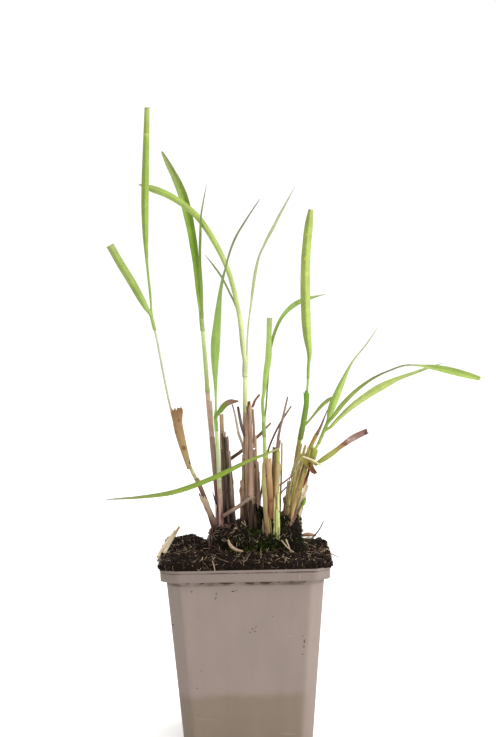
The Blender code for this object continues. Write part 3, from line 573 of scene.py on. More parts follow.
def blend_stops(stops, share):
    """Linear colour at a share of the way along a list of (share, hex) stops."""
    share = min(max(share, 0.0), 1.0)
    for (s0, c0), (s1, c1) in zip(stops, stops[1:]):
        if share <= s1:
            t = (share - s0) / max(s1 - s0, 1e-6)
            a = linear(c0, REFLECTANCE)
            b = linear(c1, REFLECTANCE)
            return [p + (q - p) * t for p, q in zip(a, b)]
    return list(linear(stops[-1][1], REFLECTANCE))


def level(stops, share):
    """Number at a share of the way along a list of (share, number) stops."""
    for (s0, v0), (s1, v1) in zip(stops, stops[1:]):
        if share <= s1:
            return v0 + (v1 - v0) * (share - s0) / max(s1 - s0, 1e-6)
    return stops[-1][1]


def ease(value):
    """Smooth step from 0 to 1."""
    value = min(max(value, 0.0), 1.0)
    return value * value * (3 - 2 * value)


def ripple(*coordinates):
    """Smooth noise between about -1 and 1."""
    return noise.noise(Vector(coordinates))


def grain_of(point, scale, octaves=3):
    """Layered noise at a point in millimetres, about -1 to 1, with lumps of that scale."""
    total = 0.0
    for octave in range(octaves):
        step = scale / 2 ** octave
        total += noise.noise(Vector((p / step + 7.3 * octave for p in point))) / 1.7 ** octave
    return total


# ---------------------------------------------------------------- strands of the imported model

def ring_layers(first, beside, corners):
    """Rings reached one after another from the first, or None if one has other corners."""
    seen = set(first)
    rings = [sorted(first)]
    while len(seen) < len(beside):
        following = {n for v in rings[-1] for n in beside[v]} - seen
        if len(following) != corners:
            return None
        seen |= following
        rings.append(sorted(following))
    return rings


def cad_rings(node, corners):
    """The rings of points, in millimetres, that a strand-shaped CAD node is lofted from."""
    mesh = bmesh.new()
    mesh.from_mesh(frame["nodes"][node].data)
    bmesh.ops.remove_doubles(mesh, verts=mesh.verts, dist=2e-5)
    mesh.verts.ensure_lookup_table()
    points = [v.co / MM for v in mesh.verts]
    beside = [{edge.other_vert(v).index for edge in v.link_edges} for v in mesh.verts]
    mesh.free()
    middle = sum(points, Vector()) / len(points)
    for end in sorted(range(len(points)), key=lambda i: -(points[i] - middle).length):
        near = sorted(range(len(points)), key=lambda i: (points[i] - points[end]).length)
        best = None
        for others in itertools.combinations(near[1:corners + 4], corners - 1):
            first = (end, *others)
            rings = ring_layers(first, beside, corners)
            if rings:
                girth = sum((points[i] - points[end]).length for i in others)
                if best is None or girth < best[0]:
                    best = (girth, rings)
        if best:
            return [[points[i] for i in ring] for ring in best[1]]
    raise RuntimeError("no rings of %d found in %s" % (corners, node))


def middle_of(ring):
    """Centre of a ring of points."""
    return sum(ring, Vector()) / len(ring)


def foot_first(rings):
    """The same rings, from the end nearest the middle of the clump's foot."""
    base = Vector((5, 0, 95))
    if (middle_of(rings[0]) - base).length > (middle_of(rings[-1]) - base).length:
        return rings[::-1]
    return rings


def smooth_rows(rows, spacing):
    """Catmull-Rom curve through rows of numbers whose first three are a place."""
    out = []
    last = len(rows) - 1
    for i in range(last):
        p0, p1, p2, p3 = rows[max(i - 1, 0)], rows[i], rows[i + 1], rows[min(i + 2, last)]
        gap = (Vector(p2[:3]) - Vector(p1[:3])).length
        steps = max(2, math.ceil(gap / spacing))
        for step in range(steps):
            t = step / steps
            out.append([
                0.5 * (2 * b + (c - a) * t + (2 * a - 5 * b + 4 * c - d) * t * t
                       + (3 * b - a - 3 * c + d) * t ** 3)
                for a, b, c, d in zip(p0, p1, p2, p3)])
    out.append(list(rows[last]))
    return out


class Station:
    """One place along a strand: its frame, half width and distance from the foot."""

    def __init__(self, place, wide, front, half, along, reached):
        self.place = place
        self.wide = wide
        self.front = front
        self.half = half
        self.along = along
        self.reached = reached
        self.share = 0.0


def stations_from(rows, flat):
    """Stations from rows of place, half width and, for a flat strand, width direction."""
    found = []
    reached = 0.0
    for i, row in enumerate(rows):
        place = Vector(row[:3])
        before = Vector(rows[max(i - 1, 0)][:3])
        after = Vector(rows[min(i + 1, len(rows) - 1)][:3])
        along = (after - before).normalized()
        if flat:
            wide = Vector(row[4:7])
            wide = (wide - along * wide.dot(along)).normalized()
            front = wide.cross(along)
        else:
            front = (FRONT - along * FRONT.dot(along)).normalized()
            wide = along.cross(front)
        if found:
            reached += (place - found[-1].place).length
        found.append(Station(place, wide, front, row[3], along, reached))
    for station in found:
        station.share = station.reached / max(reached, 1e-6)
    return found


def tube_stations(node, spacing=1.1):
    """Stations of a culm, stub or straw."""
    rows = []
    for ring in foot_first(cad_rings(node, 6)):
        centre = middle_of(ring)
        rows.append([*centre, sum((p - centre).length for p in ring) / len(ring)])
    return stations_from(smooth_rows(rows, spacing), False)


def flat_stations(node, corners, spacing=1.1):
    """Stations of a blade or husk: the ring's two farthest points are its edges."""
    rows = []
    previous = None
    for ring in foot_first(cad_rings(node, corners)):
        a, b = max(itertools.combinations(ring, 2), key=lambda pair: (pair[0] - pair[1]).length)
        wide = (b - a).normalized()
        if previous is None:
            previous = Vector((1, 0, 0)) if abs(wide.x) > 0.25 else Vector((0, 1, 0))
        if wide.dot(previous) < 0:
            wide = -wide
        previous = wide
        rows.append([*((a + b) / 2), (b - a).length / 2, *wide])
    found = stations_from(smooth_rows(rows, spacing), True)
    if found[0].front.dot(FRONT) < 0:
        for station in found:
            station.wide = -station.wide
            station.front = -station.front
    return found


# ---------------------------------------------------------------- tissue

class Tissue:
    """Gathers closed bodies of plant tissue with the colour and grain of every point."""

    def __init__(self):
        self.points = []
        self.colours = []
        self.faces = []
        self.strip = []
        self.grain = []
        self.finish = []

    def body(self, points, colours, faces, finish=0):
        """Adds a body. Each face is a list of (point, strip uv, grain uv)."""
        start = len(self.points)
        self.points.extend(p * MM for p in points)
        self.colours.extend(colours)
        for face in faces:
            self.faces.append([start + corner[0] for corner in face])
            self.strip.extend(corner[1] for corner in face)
            self.grain.extend(corner[2] for corner in face)
            self.finish.append(finish)

    def mesh(self, name, materials):
        """One mesh of all the bodies, with faces outwards."""
        mesh = bpy.data.meshes.new(name)
        mesh.from_pydata(self.points, [], self.faces)
        for layer, values in (("strip", self.strip), ("grain", self.grain)):
            uv = mesh.uv_layers.new(name=layer)
            uv.data.foreach_set("uv", [c for pair in values for c in pair])
        tissue = mesh.attributes.new("tissue", "FLOAT_COLOR", "POINT")
        tissue.data.foreach_set("color", [c for colour in self.colours for c in colour])
        for material in materials:
            mesh.materials.append(material)
        mesh.polygons.foreach_set("material_index", self.finish)
        edit = bmesh.new()
        edit.from_mesh(mesh)
        bmesh.ops.recalc_face_normals(edit, faces=edit.faces)
        edit.to_mesh(mesh)
        edit.free()
        return mesh


def sheet(tissue, grid, colours, shares, reached, thickness, finish=0):
    """A thin closed body whose middle surface is the grid, thickness(row share, across) thick."""
    rows, columns = len(grid), len(grid[0])
    front, back, front_colours = [], [], []
    for i in range(rows):
        for j in range(columns):
            lengthways = grid[min(i + 1, rows - 1)][j] - grid[max(i - 1, 0)][j]
            across = grid[i][min(j + 1, columns - 1)] - grid[i][max(j - 1, 0)]
            normal = across.cross(lengthways)
            normal = normal.normalized() if normal.length > 1e-9 else Vector((0, -1, 0))
            half = thickness(shares[i], 2 * j / (columns - 1) - 1) / 2
            front.append(grid[i][j] + normal * half)
            back.append(grid[i][j] - normal * half)
            front_colours.append(colours[i][j])
    total = rows * columns

    def corner(i, j, side):
        """One face corner on the front (0) or the back (1)."""
        u = j / (columns - 1)
        width = (grid[i][-1] - grid[i][0]).length
        return (side * total + i * columns + j, (u, shares[i]),
                ((u - 0.5) * max(width, 1.5) * 0.1, reached[i] * 0.1))

    faces = []
    for i in range(rows - 1):
        for j in range(columns - 1):
            faces.append([corner(i, j, 0), corner(i, j + 1, 0), corner(i + 1, j + 1, 0),
                          corner(i + 1, j, 0)])
            faces.append([corner(i, j, 1), corner(i + 1, j, 1), corner(i + 1, j + 1, 1),
                          corner(i, j + 1, 1)])
        for j in (0, columns - 1):
            faces.append([corner(i, j, 0), corner(i + 1, j, 0), corner(i + 1, j, 1),
                          corner(i, j, 1)])
    for i in (0, rows - 1):
        for j in range(columns - 1):
            faces.append([corner(i, j, 0), corner(i, j, 1), corner(i, j + 1, 1),
                          corner(i, j + 1, 0)])
    tissue.body(front + back, front_colours * 2, faces, finish)


def spotted(colour, station, across, marks, length):
    """The colour with its spots: (share, across, radius, hex) each."""
    for share, place, radius, hex_colour in marks:
        dx = (across - place) * station.half
        dy = (station.share - share) * length
        near = 1 - math.hypot(dx, dy * 0.7) / radius
        near += 0.35 * ripple(station.reached * 1.7, across * 3, share * 50)
        if near > 0:
            spot = linear(hex_colour, REFLECTANCE)
            weight = min(near * 1.8, 0.92)
            colour = [a + (b - a) * weight for a, b in zip(colour, spot)]
    return colour


def nearest_culm(place, culms):
    """(distance, station) of the culm point that is nearest to a place."""
    return min(((place - s.place).length, n, s) for n, row in culms.items() for s in row)[::2] \
        if culms else (1e9, None)


def blade(tissue, stations, style, seed, thickness, keel, culm=None):
    """A leaf blade: keeled, ribbed and slightly waved, wrapped round its culm at the foot."""
    columns = style.get("columns", 13)
    length = stations[-1].reached
    fold = math.tan(math.radians(style.get("fold", 0)))
    curl_foot, curl_tip = (math.radians(c) for c in style.get("curl", (0, 0)))
    left, right = style.get("half_shades", (1, 1))
    cut = style.get("tip") == "cut"
    rows = []
    if culm is not None:
        first = stations[0]
        for back in (6, 5, 4, 3, 2, 1.1, 0.4):
            place = culm.place - culm.along * back
            rows.append((Station(place, first.wide, first.front, culm.half, culm.along, -back), 1.0))
    for station in stations:
        wrap = 0.0
        if culm is not None:
            wrap = 1 - ease(station.reached / 6.5)
        rows.append((station, wrap))
    offset = -rows[0][0].reached
    grid, colours, shares, reached = [], [], [], []
    for station, wrap in rows:
        share = max(station.reached, 0) / length
        along = station.along
        wide = (station.wide - along * station.wide.dot(along)).normalized()
        front = wide.cross(along)
        taper = 1.0
        if not cut:
            blunt = style.get("blunt", 9)
            taper = min(1.0, 0.3 + 0.7 * math.sqrt(max(0.0, (1 - share) * length / blunt)))
        half = station.half * taper * (1 + 0.05 * ripple(share * length / 9, seed, 1))
        half *= level(style.get("waist", ((0, 1), (1, 1))), share)
        roll = curl_foot + (curl_tip - curl_foot) * ease(share * 1.2)
        # Near its foot a blade is a channel, so it never vanishes when seen edge on.
        roll = max(roll, 2.4 * (1 - ease(share / 0.5)))
        centre = station.place
        if wrap > 0:
            radius = culm.half + 0.16
            axis = culm.place + culm.along * station.reached
            centre = centre.lerp(axis + front * radius, wrap)
            half = half + (radius * 2.3 - half) * wrap
            roll = roll + (4.6 - roll) * wrap
        sway = style.get("wave", 0) * (1 - wrap)
        row, row_colours = [], []
        for j in range(columns):
            s = 2 * j / (columns - 1) - 1
            if abs(roll) > 0.05:
                bend = 2 * half / roll
                x = bend * math.sin(s * roll / 2)
                y = bend * (math.cos(s * roll / 2) - 1)
            else:
                x, y = s * half, 0.0
            y -= fold * half * (math.sqrt(s * s + 0.015) - 0.12) * (1 - wrap)
            y += sway * 0.5 * ripple(station.reached / 7, s * 0.8, seed + 3) * abs(s)
            x += 0.05 * sway * ripple(station.reached / 2.1, seed, s * 2)
            point = centre + wide * x + front * y
            point += front * sway * 0.25 * ripple(station.reached / 17, seed, 8)
            if cut and share > 0.98:
                point += along * 0.45 * ripple(j * 0.9, seed, 5)
            row.append(point)
            colour = blend_stops(style["stops"], share)
            # Painted light and shade: one half of the blade is painted lighter and the other darker.
            tone = left + (right - left) * ease(s * 3 + 0.5)
            tone *= style.get("light", 1.0)
            tone *= 1 + 0.05 * ripple(station.reached / 11, s * 1.5, seed)
            colour = [c * tone for c in colour[:3]] + [1.0]
            row_colours.append(spotted(colour, station, s, style.get("marks", ()), length))
        grid.append(row)
        colours.append(row_colours)
        shares.append(share)
        reached.append(station.reached + offset)

    def thick(share, s):
        """Thick at the keel, thin at the edge and at a pointed tip."""
        body = thickness * (1 - 0.55 * s * s) + keel * math.exp(-(s / 0.13) ** 2)
        return body * (1 if cut else 0.35 + 0.65 * min(1, (1 - share) * 6))

    sheet(tissue, grid, colours, shares, reached, thick)


def wrapped_layer(tissue, stations, span, around, lift, flare, colour_stops, seed, thickness,
                  angle=0.0, ragged=1.2, finish=1):
    """An old sheath layer that hugs a stalk from one share to another and frays at its end."""
    start, end = span
    columns = 9
    chosen = [s for s in stations if start <= s.share <= end]
    if len(chosen) < 4:
        return
    length = stations[-1].reached
    grid, colours, shares, reached = [], [], [], []
    for n, station in enumerate(chosen):
        t = n / (len(chosen) - 1)
        open_up = flare * ease((t - 0.8) / 0.2)
        radius = station.half + lift * (0.6 + 0.4 * t) + open_up
        spread = around * (1 - 0.35 * ease((t - 0.75) / 0.25))
        turn = angle + 0.5 * t * ripple(seed, 3, 1) + 0.1 * ripple(t * 6, seed, 2)
        row, row_colours = [], []
        for j in range(columns):
            s = 2 * j / (columns - 1) - 1
            phi = turn + s * spread / 2
            r = radius * (1 + 0.05 * ripple(phi * 3, t * 9, seed)) + 0.12 * abs(s) ** 3
            point = station.place + station.wide * r * math.cos(phi) + station.front * r * math.sin(phi)
            if t > 0.9:
                point += station.along * ragged * ripple(j * 1.1, seed, 9) * ease((t - 0.9) / 0.1) * 2
            row.append(point)
            shade = 1 + 0.16 * ripple(station.reached / 6, s * 2, seed + 5)
            colour = blend_stops(colour_stops, station.share)
            row_colours.append([c * shade for c in colour[:3]] + [1.0])
        grid.append(row)
        colours.append(row_colours)
        shares.append(t)
        reached.append(station.reached)
    sheet(tissue, grid, colours, shares, reached,
          lambda t, s: thickness * (1 - 0.6 * abs(s) ** 3), finish)


def stalk(tissue, stations, style, seed, sides, swelling, finish=0):
    """A culm or stub: a ribbed tube with swollen joints, hollow and torn where it was cut."""
    hollow = style.get("hollow", False)
    nodes = style.get("nodes", ())
    length = stations[-1].reached
    flat = 0.86 if hollow else 0.97
    points, colours, marks = [], [], []
    for station in stations:
        joint = max([math.exp(-((station.share - n) * length / 0.75) ** 2) for n in nodes] or [0])
        # Painted shade: a band about 1.6 mm under each swollen joint is painted darker.
        under_joint_shade = max([math.exp(-(((station.share - n) * length + 1.6) / 0.5) ** 2) for n in nodes] or [0])
        sheathed = sum(1 for n in nodes if station.share < n)
        radius = station.half * (1 + swelling * joint + 0.05 * sheathed) * 0.97
        radius *= level(style.get("girth", ((0, 1), (1, 1))), station.share)
        colour = blend_stops(style["stops"], station.share)
        for j in range(sides):
            phi = math.tau * j / sides
            r = radius * (1 + 0.035 * math.cos(7 * phi + seed) + 0.05 * ripple(phi, station.reached / 6, seed))
            if hollow:
                r *= 1 - 0.16 * math.exp(-((math.cos(phi - seed) - 1) / 0.12) ** 2)
            point = station.place + station.wide * r * math.cos(phi) + station.front * r * math.sin(phi) * flat
            if hollow and station.share > 0.94:
                point += station.along * 1.1 * ripple(j * 0.8, seed, 4) * ease((station.share - 0.94) / 0.06)
            points.append(point)
            tone = 1 - 0.3 * under_joint_shade + 0.1 * joint + 0.07 * ripple(station.reached / 5, phi, seed + 2)
            colours.append([c * tone for c in colour[:3]] + [1.0])
        marks.append((station.share, station.reached))
    last = stations[-1]
    if hollow:
        # Painted shade: the inside of the hollow end is painted darker the deeper it goes.
        for inward, deep in ((0.72, 0.05), (0.62, 0.6), (0.55, 2.4)):
            for j in range(sides):
                phi = math.tau * j / sides
                r = last.half * inward
                rim = last.along * 1.1 * ripple(j * 0.8, seed, 4) * (1 - min(deep, 1))
                points.append(last.place + last.wide * r * math.cos(phi)
                              + last.front * r * math.sin(phi) * flat - last.along * deep + rim)
                colours.append([c * (0.8 - 0.2 * deep) for c in blend_stops(style["stops"], 1)[:3]] + [1.0])
            marks.append((1.0, last.reached + deep))
        tip = last.place - last.along * 2.6
    else:
        for inward, ahead in ((0.75, 0.22), (0.35, 0.36)):
            for j in range(sides):
                phi = math.tau * j / sides
                r = last.half * inward
                points.append(last.place + last.wide * r * math.cos(phi)
                              + last.front * r * math.sin(phi) + last.along * ahead * last.half)
                colours.append(blend_stops(style["stops"], 1))
            marks.append((1.0, last.reached + ahead))
        tip = last.place + last.along * last.half * 0.4
    foot = stations[0].place - stations[0].along * 0.3
    rings = len(marks)
    ends = len(points)
    points.extend([foot, tip])
    colours.extend([blend_stops(style["stops"], 0), blend_stops(style["stops"], 1)])
    girth = math.tau * stations[0].half

    def corner(i, j):
        """One face corner; j runs to sides so that the grain meets at the seam."""
        return (i * sides + j % sides, (j / sides, marks[i][0]),
                (j / sides * girth * 0.1, marks[i][1] * 0.1))

    faces = []
    for i in range(rings - 1):
        for j in range(sides):
            faces.append([corner(i, j), corner(i, j + 1), corner(i + 1, j + 1), corner(i + 1, j)])
    for j in range(sides):
        faces.append([corner(0, j + 1), corner(0, j), (ends, (0.5, 0), (0, 0))])
        faces.append([corner(rings - 1, j), corner(rings - 1, j + 1),
                      (ends + 1, (0.5, 1), (0, marks[-1][1] * 0.1))])
    tissue.body(points, colours, faces, finish)


# ---------------------------------------------------------------- finishes

def tissue_material(name, veins, streaks, flecks, roughness, gloss, through, relief):
    """Grass tissue. Its colour comes from the tissue attribute; fine parallel veins and
    long streaks follow the grain, and flecks are small dark rotted spots."""
    material = bpy.data.materials.new(name)
    material.use_nodes = True
    tree = material.node_tree
    tree.nodes.clear()
    colour = add(tree, "ShaderNodeAttribute", {"attribute_name": "tissue"}).outputs["Color"]
    strip = add(tree, "ShaderNodeUVMap", {"uv_map": "strip"}).outputs["UV"]
    grain = add(tree, "ShaderNodeUVMap", {"uv_map": "grain"}).outputs["UV"]
    place = add(tree, "ShaderNodeTexCoord").outputs["Object"]
    across = add(tree, "ShaderNodeSeparateXYZ", None, {0: grain}).outputs["X"]
    # Veins: one sine wave each vein spacing; the grain map is in centimetres.
    turns = add(tree, "ShaderNodeMath", {"operation": "MULTIPLY"},
                {0: across, 1: math.tau / (veins / MM * 0.1)}).outputs[0]
    vein = add(tree, "ShaderNodeMath", {"operation": "SINE"}, {0: turns}).outputs[0]
    # Streaks: noise drawn out along the strand, 0.3 mm wide and about 10 mm long.
    long_map = add(tree, "ShaderNodeMapping", None, {"Vector": grain, "Scale": (26, 1.1, 1)}).outputs[0]
    streak = add(tree, "ShaderNodeTexNoise", None,
                 {"Vector": long_map, "Scale": 1.0, "Detail": 4, "Roughness": 0.6}).outputs["Fac"]
    # Mottling: soft patches about 5 mm across.
    patch = add(tree, "ShaderNodeTexNoise", None,
                {"Vector": place, "Scale": 190.0, "Detail": 3}).outputs["Fac"]
    light = add(tree, "ShaderNodeMapRange", None,
                {0: streak, 1: 0.25, 2: 0.75, 3: 1 - streaks, 4: 1 + streaks}).outputs[0]
    lines = add(tree, "ShaderNodeMapRange", None,
                {0: vein, 1: -1.0, 2: 1.0, 3: 0.955, 4: 1.035}).outputs[0]
    blotch = add(tree, "ShaderNodeMapRange", None,
                 {0: patch, 1: 0.3, 2: 0.7, 3: 0.9, 4: 1.1}).outputs[0]
    tone = add(tree, "ShaderNodeMath", {"operation": "MULTIPLY"}, {0: light, 1: lines}).outputs[0]
    tone = add(tree, "ShaderNodeMath", {"operation": "MULTIPLY"}, {0: tone, 1: blotch}).outputs[0]
    # Midrib: a paler line along the middle of the strip.
    u = add(tree, "ShaderNodeSeparateXYZ", None, {0: strip}).outputs["X"]
    off = add(tree, "ShaderNodeMath", {"operation": "SUBTRACT"}, {0: u, 1: 0.5}).outputs[0]
    off = add(tree, "ShaderNodeMath", {"operation": "ABSOLUTE"}, {0: off}).outputs[0]
    rib = add(tree, "ShaderNodeMapRange", None, {0: off, 1: 0.02, 2: 0.07, 3: 1.12, 4: 1.0}).outputs[0]
    tone = add(tree, "ShaderNodeMath", {"operation": "MULTIPLY"}, {0: tone, 1: rib}).outputs[0]
    toned = add(tree, "ShaderNodeVectorMath", {"operation": "SCALE"}, {0: colour, "Scale": tone}).outputs[0]
    # Flecks: dark spots under a millimetre across, longer along the grain.
    fleck_map = add(tree, "ShaderNodeMapping", None, {"Vector": grain, "Scale": (14, 5, 1)}).outputs[0]
    fleck = add(tree, "ShaderNodeTexNoise", None,
                {"Vector": fleck_map, "Scale": 1.3, "Detail": 2}).outputs["Fac"]
    fleck = add(tree, "ShaderNodeMapRange", None,
                {0: fleck, 1: 0.66, 2: 0.74, 3: 0.0, 4: flecks}).outputs[0]
    final = add(tree, "ShaderNodeMix", {"data_type": "RGBA"},
                {0: fleck, 6: toned, 7: linear("#4A3626", REFLECTANCE)}).outputs[2]
    height = add(tree, "ShaderNodeMath", {"operation": "MULTIPLY_ADD"},
                 {0: vein, 1: 0.25, 2: streak}).outputs[0]
    bump = add(tree, "ShaderNodeBump", None,
               {"Height": height, "Strength": relief, "Distance": 0.00025}).outputs[0]
    rough = add(tree, "ShaderNodeMapRange", None,
                {0: streak, 1: 0.2, 2: 0.8, 3: roughness - 0.07, 4: roughness + 0.09}).outputs[0]
    shader = add(tree, "ShaderNodeBsdfPrincipled", None, {
        "Base Color": final, "Roughness": rough, "Specular IOR Level": gloss, "Normal": bump}).outputs[0]
    if through > 0:
        warm = add(tree, "ShaderNodeMix", {"data_type": "RGBA", "blend_type": "MULTIPLY"},
                   {0: 1.0, 6: final, 7: (1.24, 1.08, 0.66, 1)}).outputs[2]
        glow = add(tree, "ShaderNodeBsdfTranslucent", None, {"Color": warm}).outputs[0]
        shader = add(tree, "ShaderNodeMixShader", None, {0: through, 1: shader, 2: glow}).outputs[0]
    add(tree, "ShaderNodeOutputMaterial", None, {"Surface": shader})
    return material


def finish_of(kind):
    """The material of one kind of tissue, made once."""
    leaf = bpy.context.scene.grass_leaf
    name, values = {
        # Living leaf: a thin waxy skin over parallel veins, so it shines a little and
        # glows yellow-green where light comes through.
        "living": ("grass_leaf_living", (leaf.vein, 0.07, 0.0, 0.46, 0.42, leaf.glow, 0.35)),
        # Culm: smooth, waxy and round, with finer ribs.
        "culm": ("grass_culm_waxy", (0.42 * MM, 0.12, 0.35, 0.5, 0.4, 0.0, 0.45)),
        # Dry sheath: papery straw, dull, streaked along its fibres and spotted with rot.
        "dry": ("grass_sheath_dry", (0.5 * MM, 0.3, 0.75, 0.78, 0.22, 0.14, 0.8)),
        # Dead stalk: weathered and rough, the dark fungus spots run together.
        "dead": ("grass_stalk_weathered", (0.45 * MM, 0.34, 0.9, 0.85, 0.18, 0.0, 0.9)),
    }[kind]
    return bpy.data.materials.get(name) or tissue_material(name, *values)


def pot_material(settings):
    """Taupe polypropylene, injection moulded: even and satin with a fine sandy grain, it
    scuffs pale and holds specks of peat. Its left side is painted darker as painted shade,
    painted shade with a film of peat lies in the groove under the lip and the corner under
    the rim, the rim is a little darker, and the wall is darker towards the bottom."""
    material = bpy.data.materials.new("polypropylene_moulded_taupe")
    material.use_nodes = True
    tree = material.node_tree
    tree.nodes.clear()
    place = add(tree, "ShaderNodeTexCoord").outputs["Object"]
    axes = add(tree, "ShaderNodeSeparateXYZ", None, {0: place})
    cloud = add(tree, "ShaderNodeTexNoise", None,
                {"Vector": place, "Scale": 45.0, "Detail": 4, "Roughness": 0.55}).outputs["Fac"]
    # Flow marks of the mould run down the wall, a few millimetres apart.
    drawn = add(tree, "ShaderNodeMapping", None, {"Vector": place, "Scale": (220, 220, 14)}).outputs[0]
    flow = add(tree, "ShaderNodeTexNoise", None, {"Vector": drawn, "Scale": 1.0, "Detail": 3}).outputs["Fac"]
    # The wall is darker towards the bottom, up to a soft edge about 27 mm up, and less so at the right.
    edge = add(tree, "ShaderNodeMath", {"operation": "MULTIPLY_ADD"},
               {0: cloud, 1: 0.006, 2: axes.outputs["Z"]}).outputs[0]
    darker_foot = add(tree, "ShaderNodeMapRange", {"interpolation_type": "SMOOTHSTEP"},
               {0: edge, 1: 0.0285, 2: 0.034, 3: 1.0, 4: 0.0}).outputs[0]
    right_side_fade = add(tree, "ShaderNodeMapRange", None,
                   {0: axes.outputs["X"], 1: 0.026, 2: 0.033, 3: 1.0, 4: 0.15}).outputs[0]
    darker_foot = add(tree, "ShaderNodeMath", {"operation": "MULTIPLY"}, {0: darker_foot, 1: right_side_fade}).outputs[0]
    base = add(tree, "ShaderNodeMix", {"data_type": "RGBA"},
               {0: darker_foot, 6: (*settings.plastic, 1), 7: (*settings.darker_foot, 1)}).outputs[2]
    shade = add(tree, "ShaderNodeMapRange", None, {0: cloud, 1: 0.3, 2: 0.7, 3: 0.95, 4: 1.05}).outputs[0]
    line = add(tree, "ShaderNodeMapRange", None, {0: flow, 1: 0.3, 2: 0.7, 3: 0.975, 4: 1.025}).outputs[0]
    tone = add(tree, "ShaderNodeMath", {"operation": "MULTIPLY"}, {0: shade, 1: line}).outputs[0]
    # Painted shade: the left chamfer and the wall to its left are painted darker.
    slant = add(tree, "ShaderNodeMath", {"operation": "MULTIPLY_ADD"},
                {0: axes.outputs["Z"], 1: 0.0675, 2: axes.outputs["X"]}).outputs[0]
    left_side_shade = add(tree, "ShaderNodeMapRange", {"interpolation_type": "SMOOTHSTEP"},
                {0: slant, 1: -0.0292, 2: -0.0278, 3: 0.88, 4: 1.0}).outputs[0]
    tone = add(tree, "ShaderNodeMath", {"operation": "MULTIPLY"}, {0: tone, 1: left_side_shade}).outputs[0]
    # The rim is a little darker than the wall.
    rim = add(tree, "ShaderNodeMapRange", None,
              {0: axes.outputs["Z"], 1: 0.0884, 2: 0.0888, 3: 1.0, 4: 0.84}).outputs[0]
    tone = add(tree, "ShaderNodeMath", {"operation": "MULTIPLY"}, {0: tone, 1: rim}).outputs[0]
    base = add(tree, "ShaderNodeVectorMath", {"operation": "SCALE"}, {0: base, "Scale": tone}).outputs[0]
    # Painted shade with a patchy film of peat: in the groove under the lip and in the corner under the rim.
    grit = add(tree, "ShaderNodeTexNoise", None,
               {"Vector": place, "Scale": 420.0, "Detail": 5, "Roughness": 0.7}).outputs["Fac"]
    broad = add(tree, "ShaderNodeTexNoise", None, {"Vector": place, "Scale": 70.0, "Detail": 2}).outputs["Fac"]
    shade_and_peat = 0.0
    for low, high, soft in ((0.0868, 0.0886, 0.0007), (0.09345, 0.0939, 0.0002)):
        up = add(tree, "ShaderNodeMapRange", None,
                 {0: axes.outputs["Z"], 1: low - soft, 2: low, 3: 0.0, 4: 1.0}).outputs[0]
        down = add(tree, "ShaderNodeMapRange", None,
                   {0: axes.outputs["Z"], 1: high, 2: high + soft, 3: 1.0, 4: 0.0}).outputs[0]
        band = add(tree, "ShaderNodeMath", {"operation": "MULTIPLY"}, {0: up, 1: down}).outputs[0]
        shade_and_peat = add(tree, "ShaderNodeMath", {"operation": "ADD"}, {0: band, 1: shade_and_peat}).outputs[0]
    patchy = add(tree, "ShaderNodeMapRange", None, {0: broad, 1: 0.44, 2: 0.62, 3: 0.12, 4: 0.85}).outputs[0]
    shade_and_peat = add(tree, "ShaderNodeMath", {"operation": "MULTIPLY"}, {0: shade_and_peat, 1: patchy}).outputs[0]
    # Loose specks of peat anywhere on the wall, half a millimetre across.
    speck = add(tree, "ShaderNodeMapRange", None, {0: grit, 1: 0.69, 2: 0.74, 3: 0.0, 4: 0.55}).outputs[0]
    shade_and_peat = add(tree, "ShaderNodeMath", {"operation": "MAXIMUM"}, {0: shade_and_peat, 1: speck}).outputs[0]
    base = add(tree, "ShaderNodeMix", {"data_type": "RGBA"},
               {0: shade_and_peat, 6: base, 7: linear("#4B3D33", REFLECTANCE)}).outputs[2]
    # Scuffs: pale scratches on the broad faces.
    scratch_map = add(tree, "ShaderNodeMapping", None,
                      {"Vector": place, "Rotation": (0.3, 0.5, 0.2), "Scale": (60, 60, 700)}).outputs[0]
    scratch = add(tree, "ShaderNodeTexNoise", None,
                  {"Vector": scratch_map, "Scale": 1.0, "Detail": 2}).outputs["Fac"]
    scratch = add(tree, "ShaderNodeMapRange", None,
                  {0: scratch, 1: 0.71, 2: 0.77, 3: 0.0, 4: 0.14}).outputs[0]
    base = add(tree, "ShaderNodeMix", {"data_type": "RGBA"},
               {0: scratch, 6: base, 7: linear("#B9ACA0", REFLECTANCE)}).outputs[2]
    # Sand texture of the mould, drawn at 0.4 mm so that it shows.
    sand = add(tree, "ShaderNodeTexNoise", None, {"Vector": place, "Scale": 2400.0, "Detail": 2}).outputs["Fac"]
    height = add(tree, "ShaderNodeMath", {"operation": "MULTIPLY_ADD"},
                 {0: shade_and_peat, 1: 1.5, 2: sand}).outputs[0]
    bump = add(tree, "ShaderNodeBump", None,
               {"Height": height, "Strength": 0.18, "Distance": 0.0002}).outputs[0]
    rough = add(tree, "ShaderNodeMapRange", None, {0: cloud, 1: 0.3, 2: 0.7, 3: 0.52, 4: 0.66}).outputs[0]
    shader = add(tree, "ShaderNodeBsdfPrincipled", None, {
        "Base Color": base, "Roughness": rough, "Specular IOR Level": 0.4, "IOR": 1.49,
        "Normal": bump}).outputs[0]
    add(tree, "ShaderNodeOutputMaterial", None, {"Surface": shader})
    return material


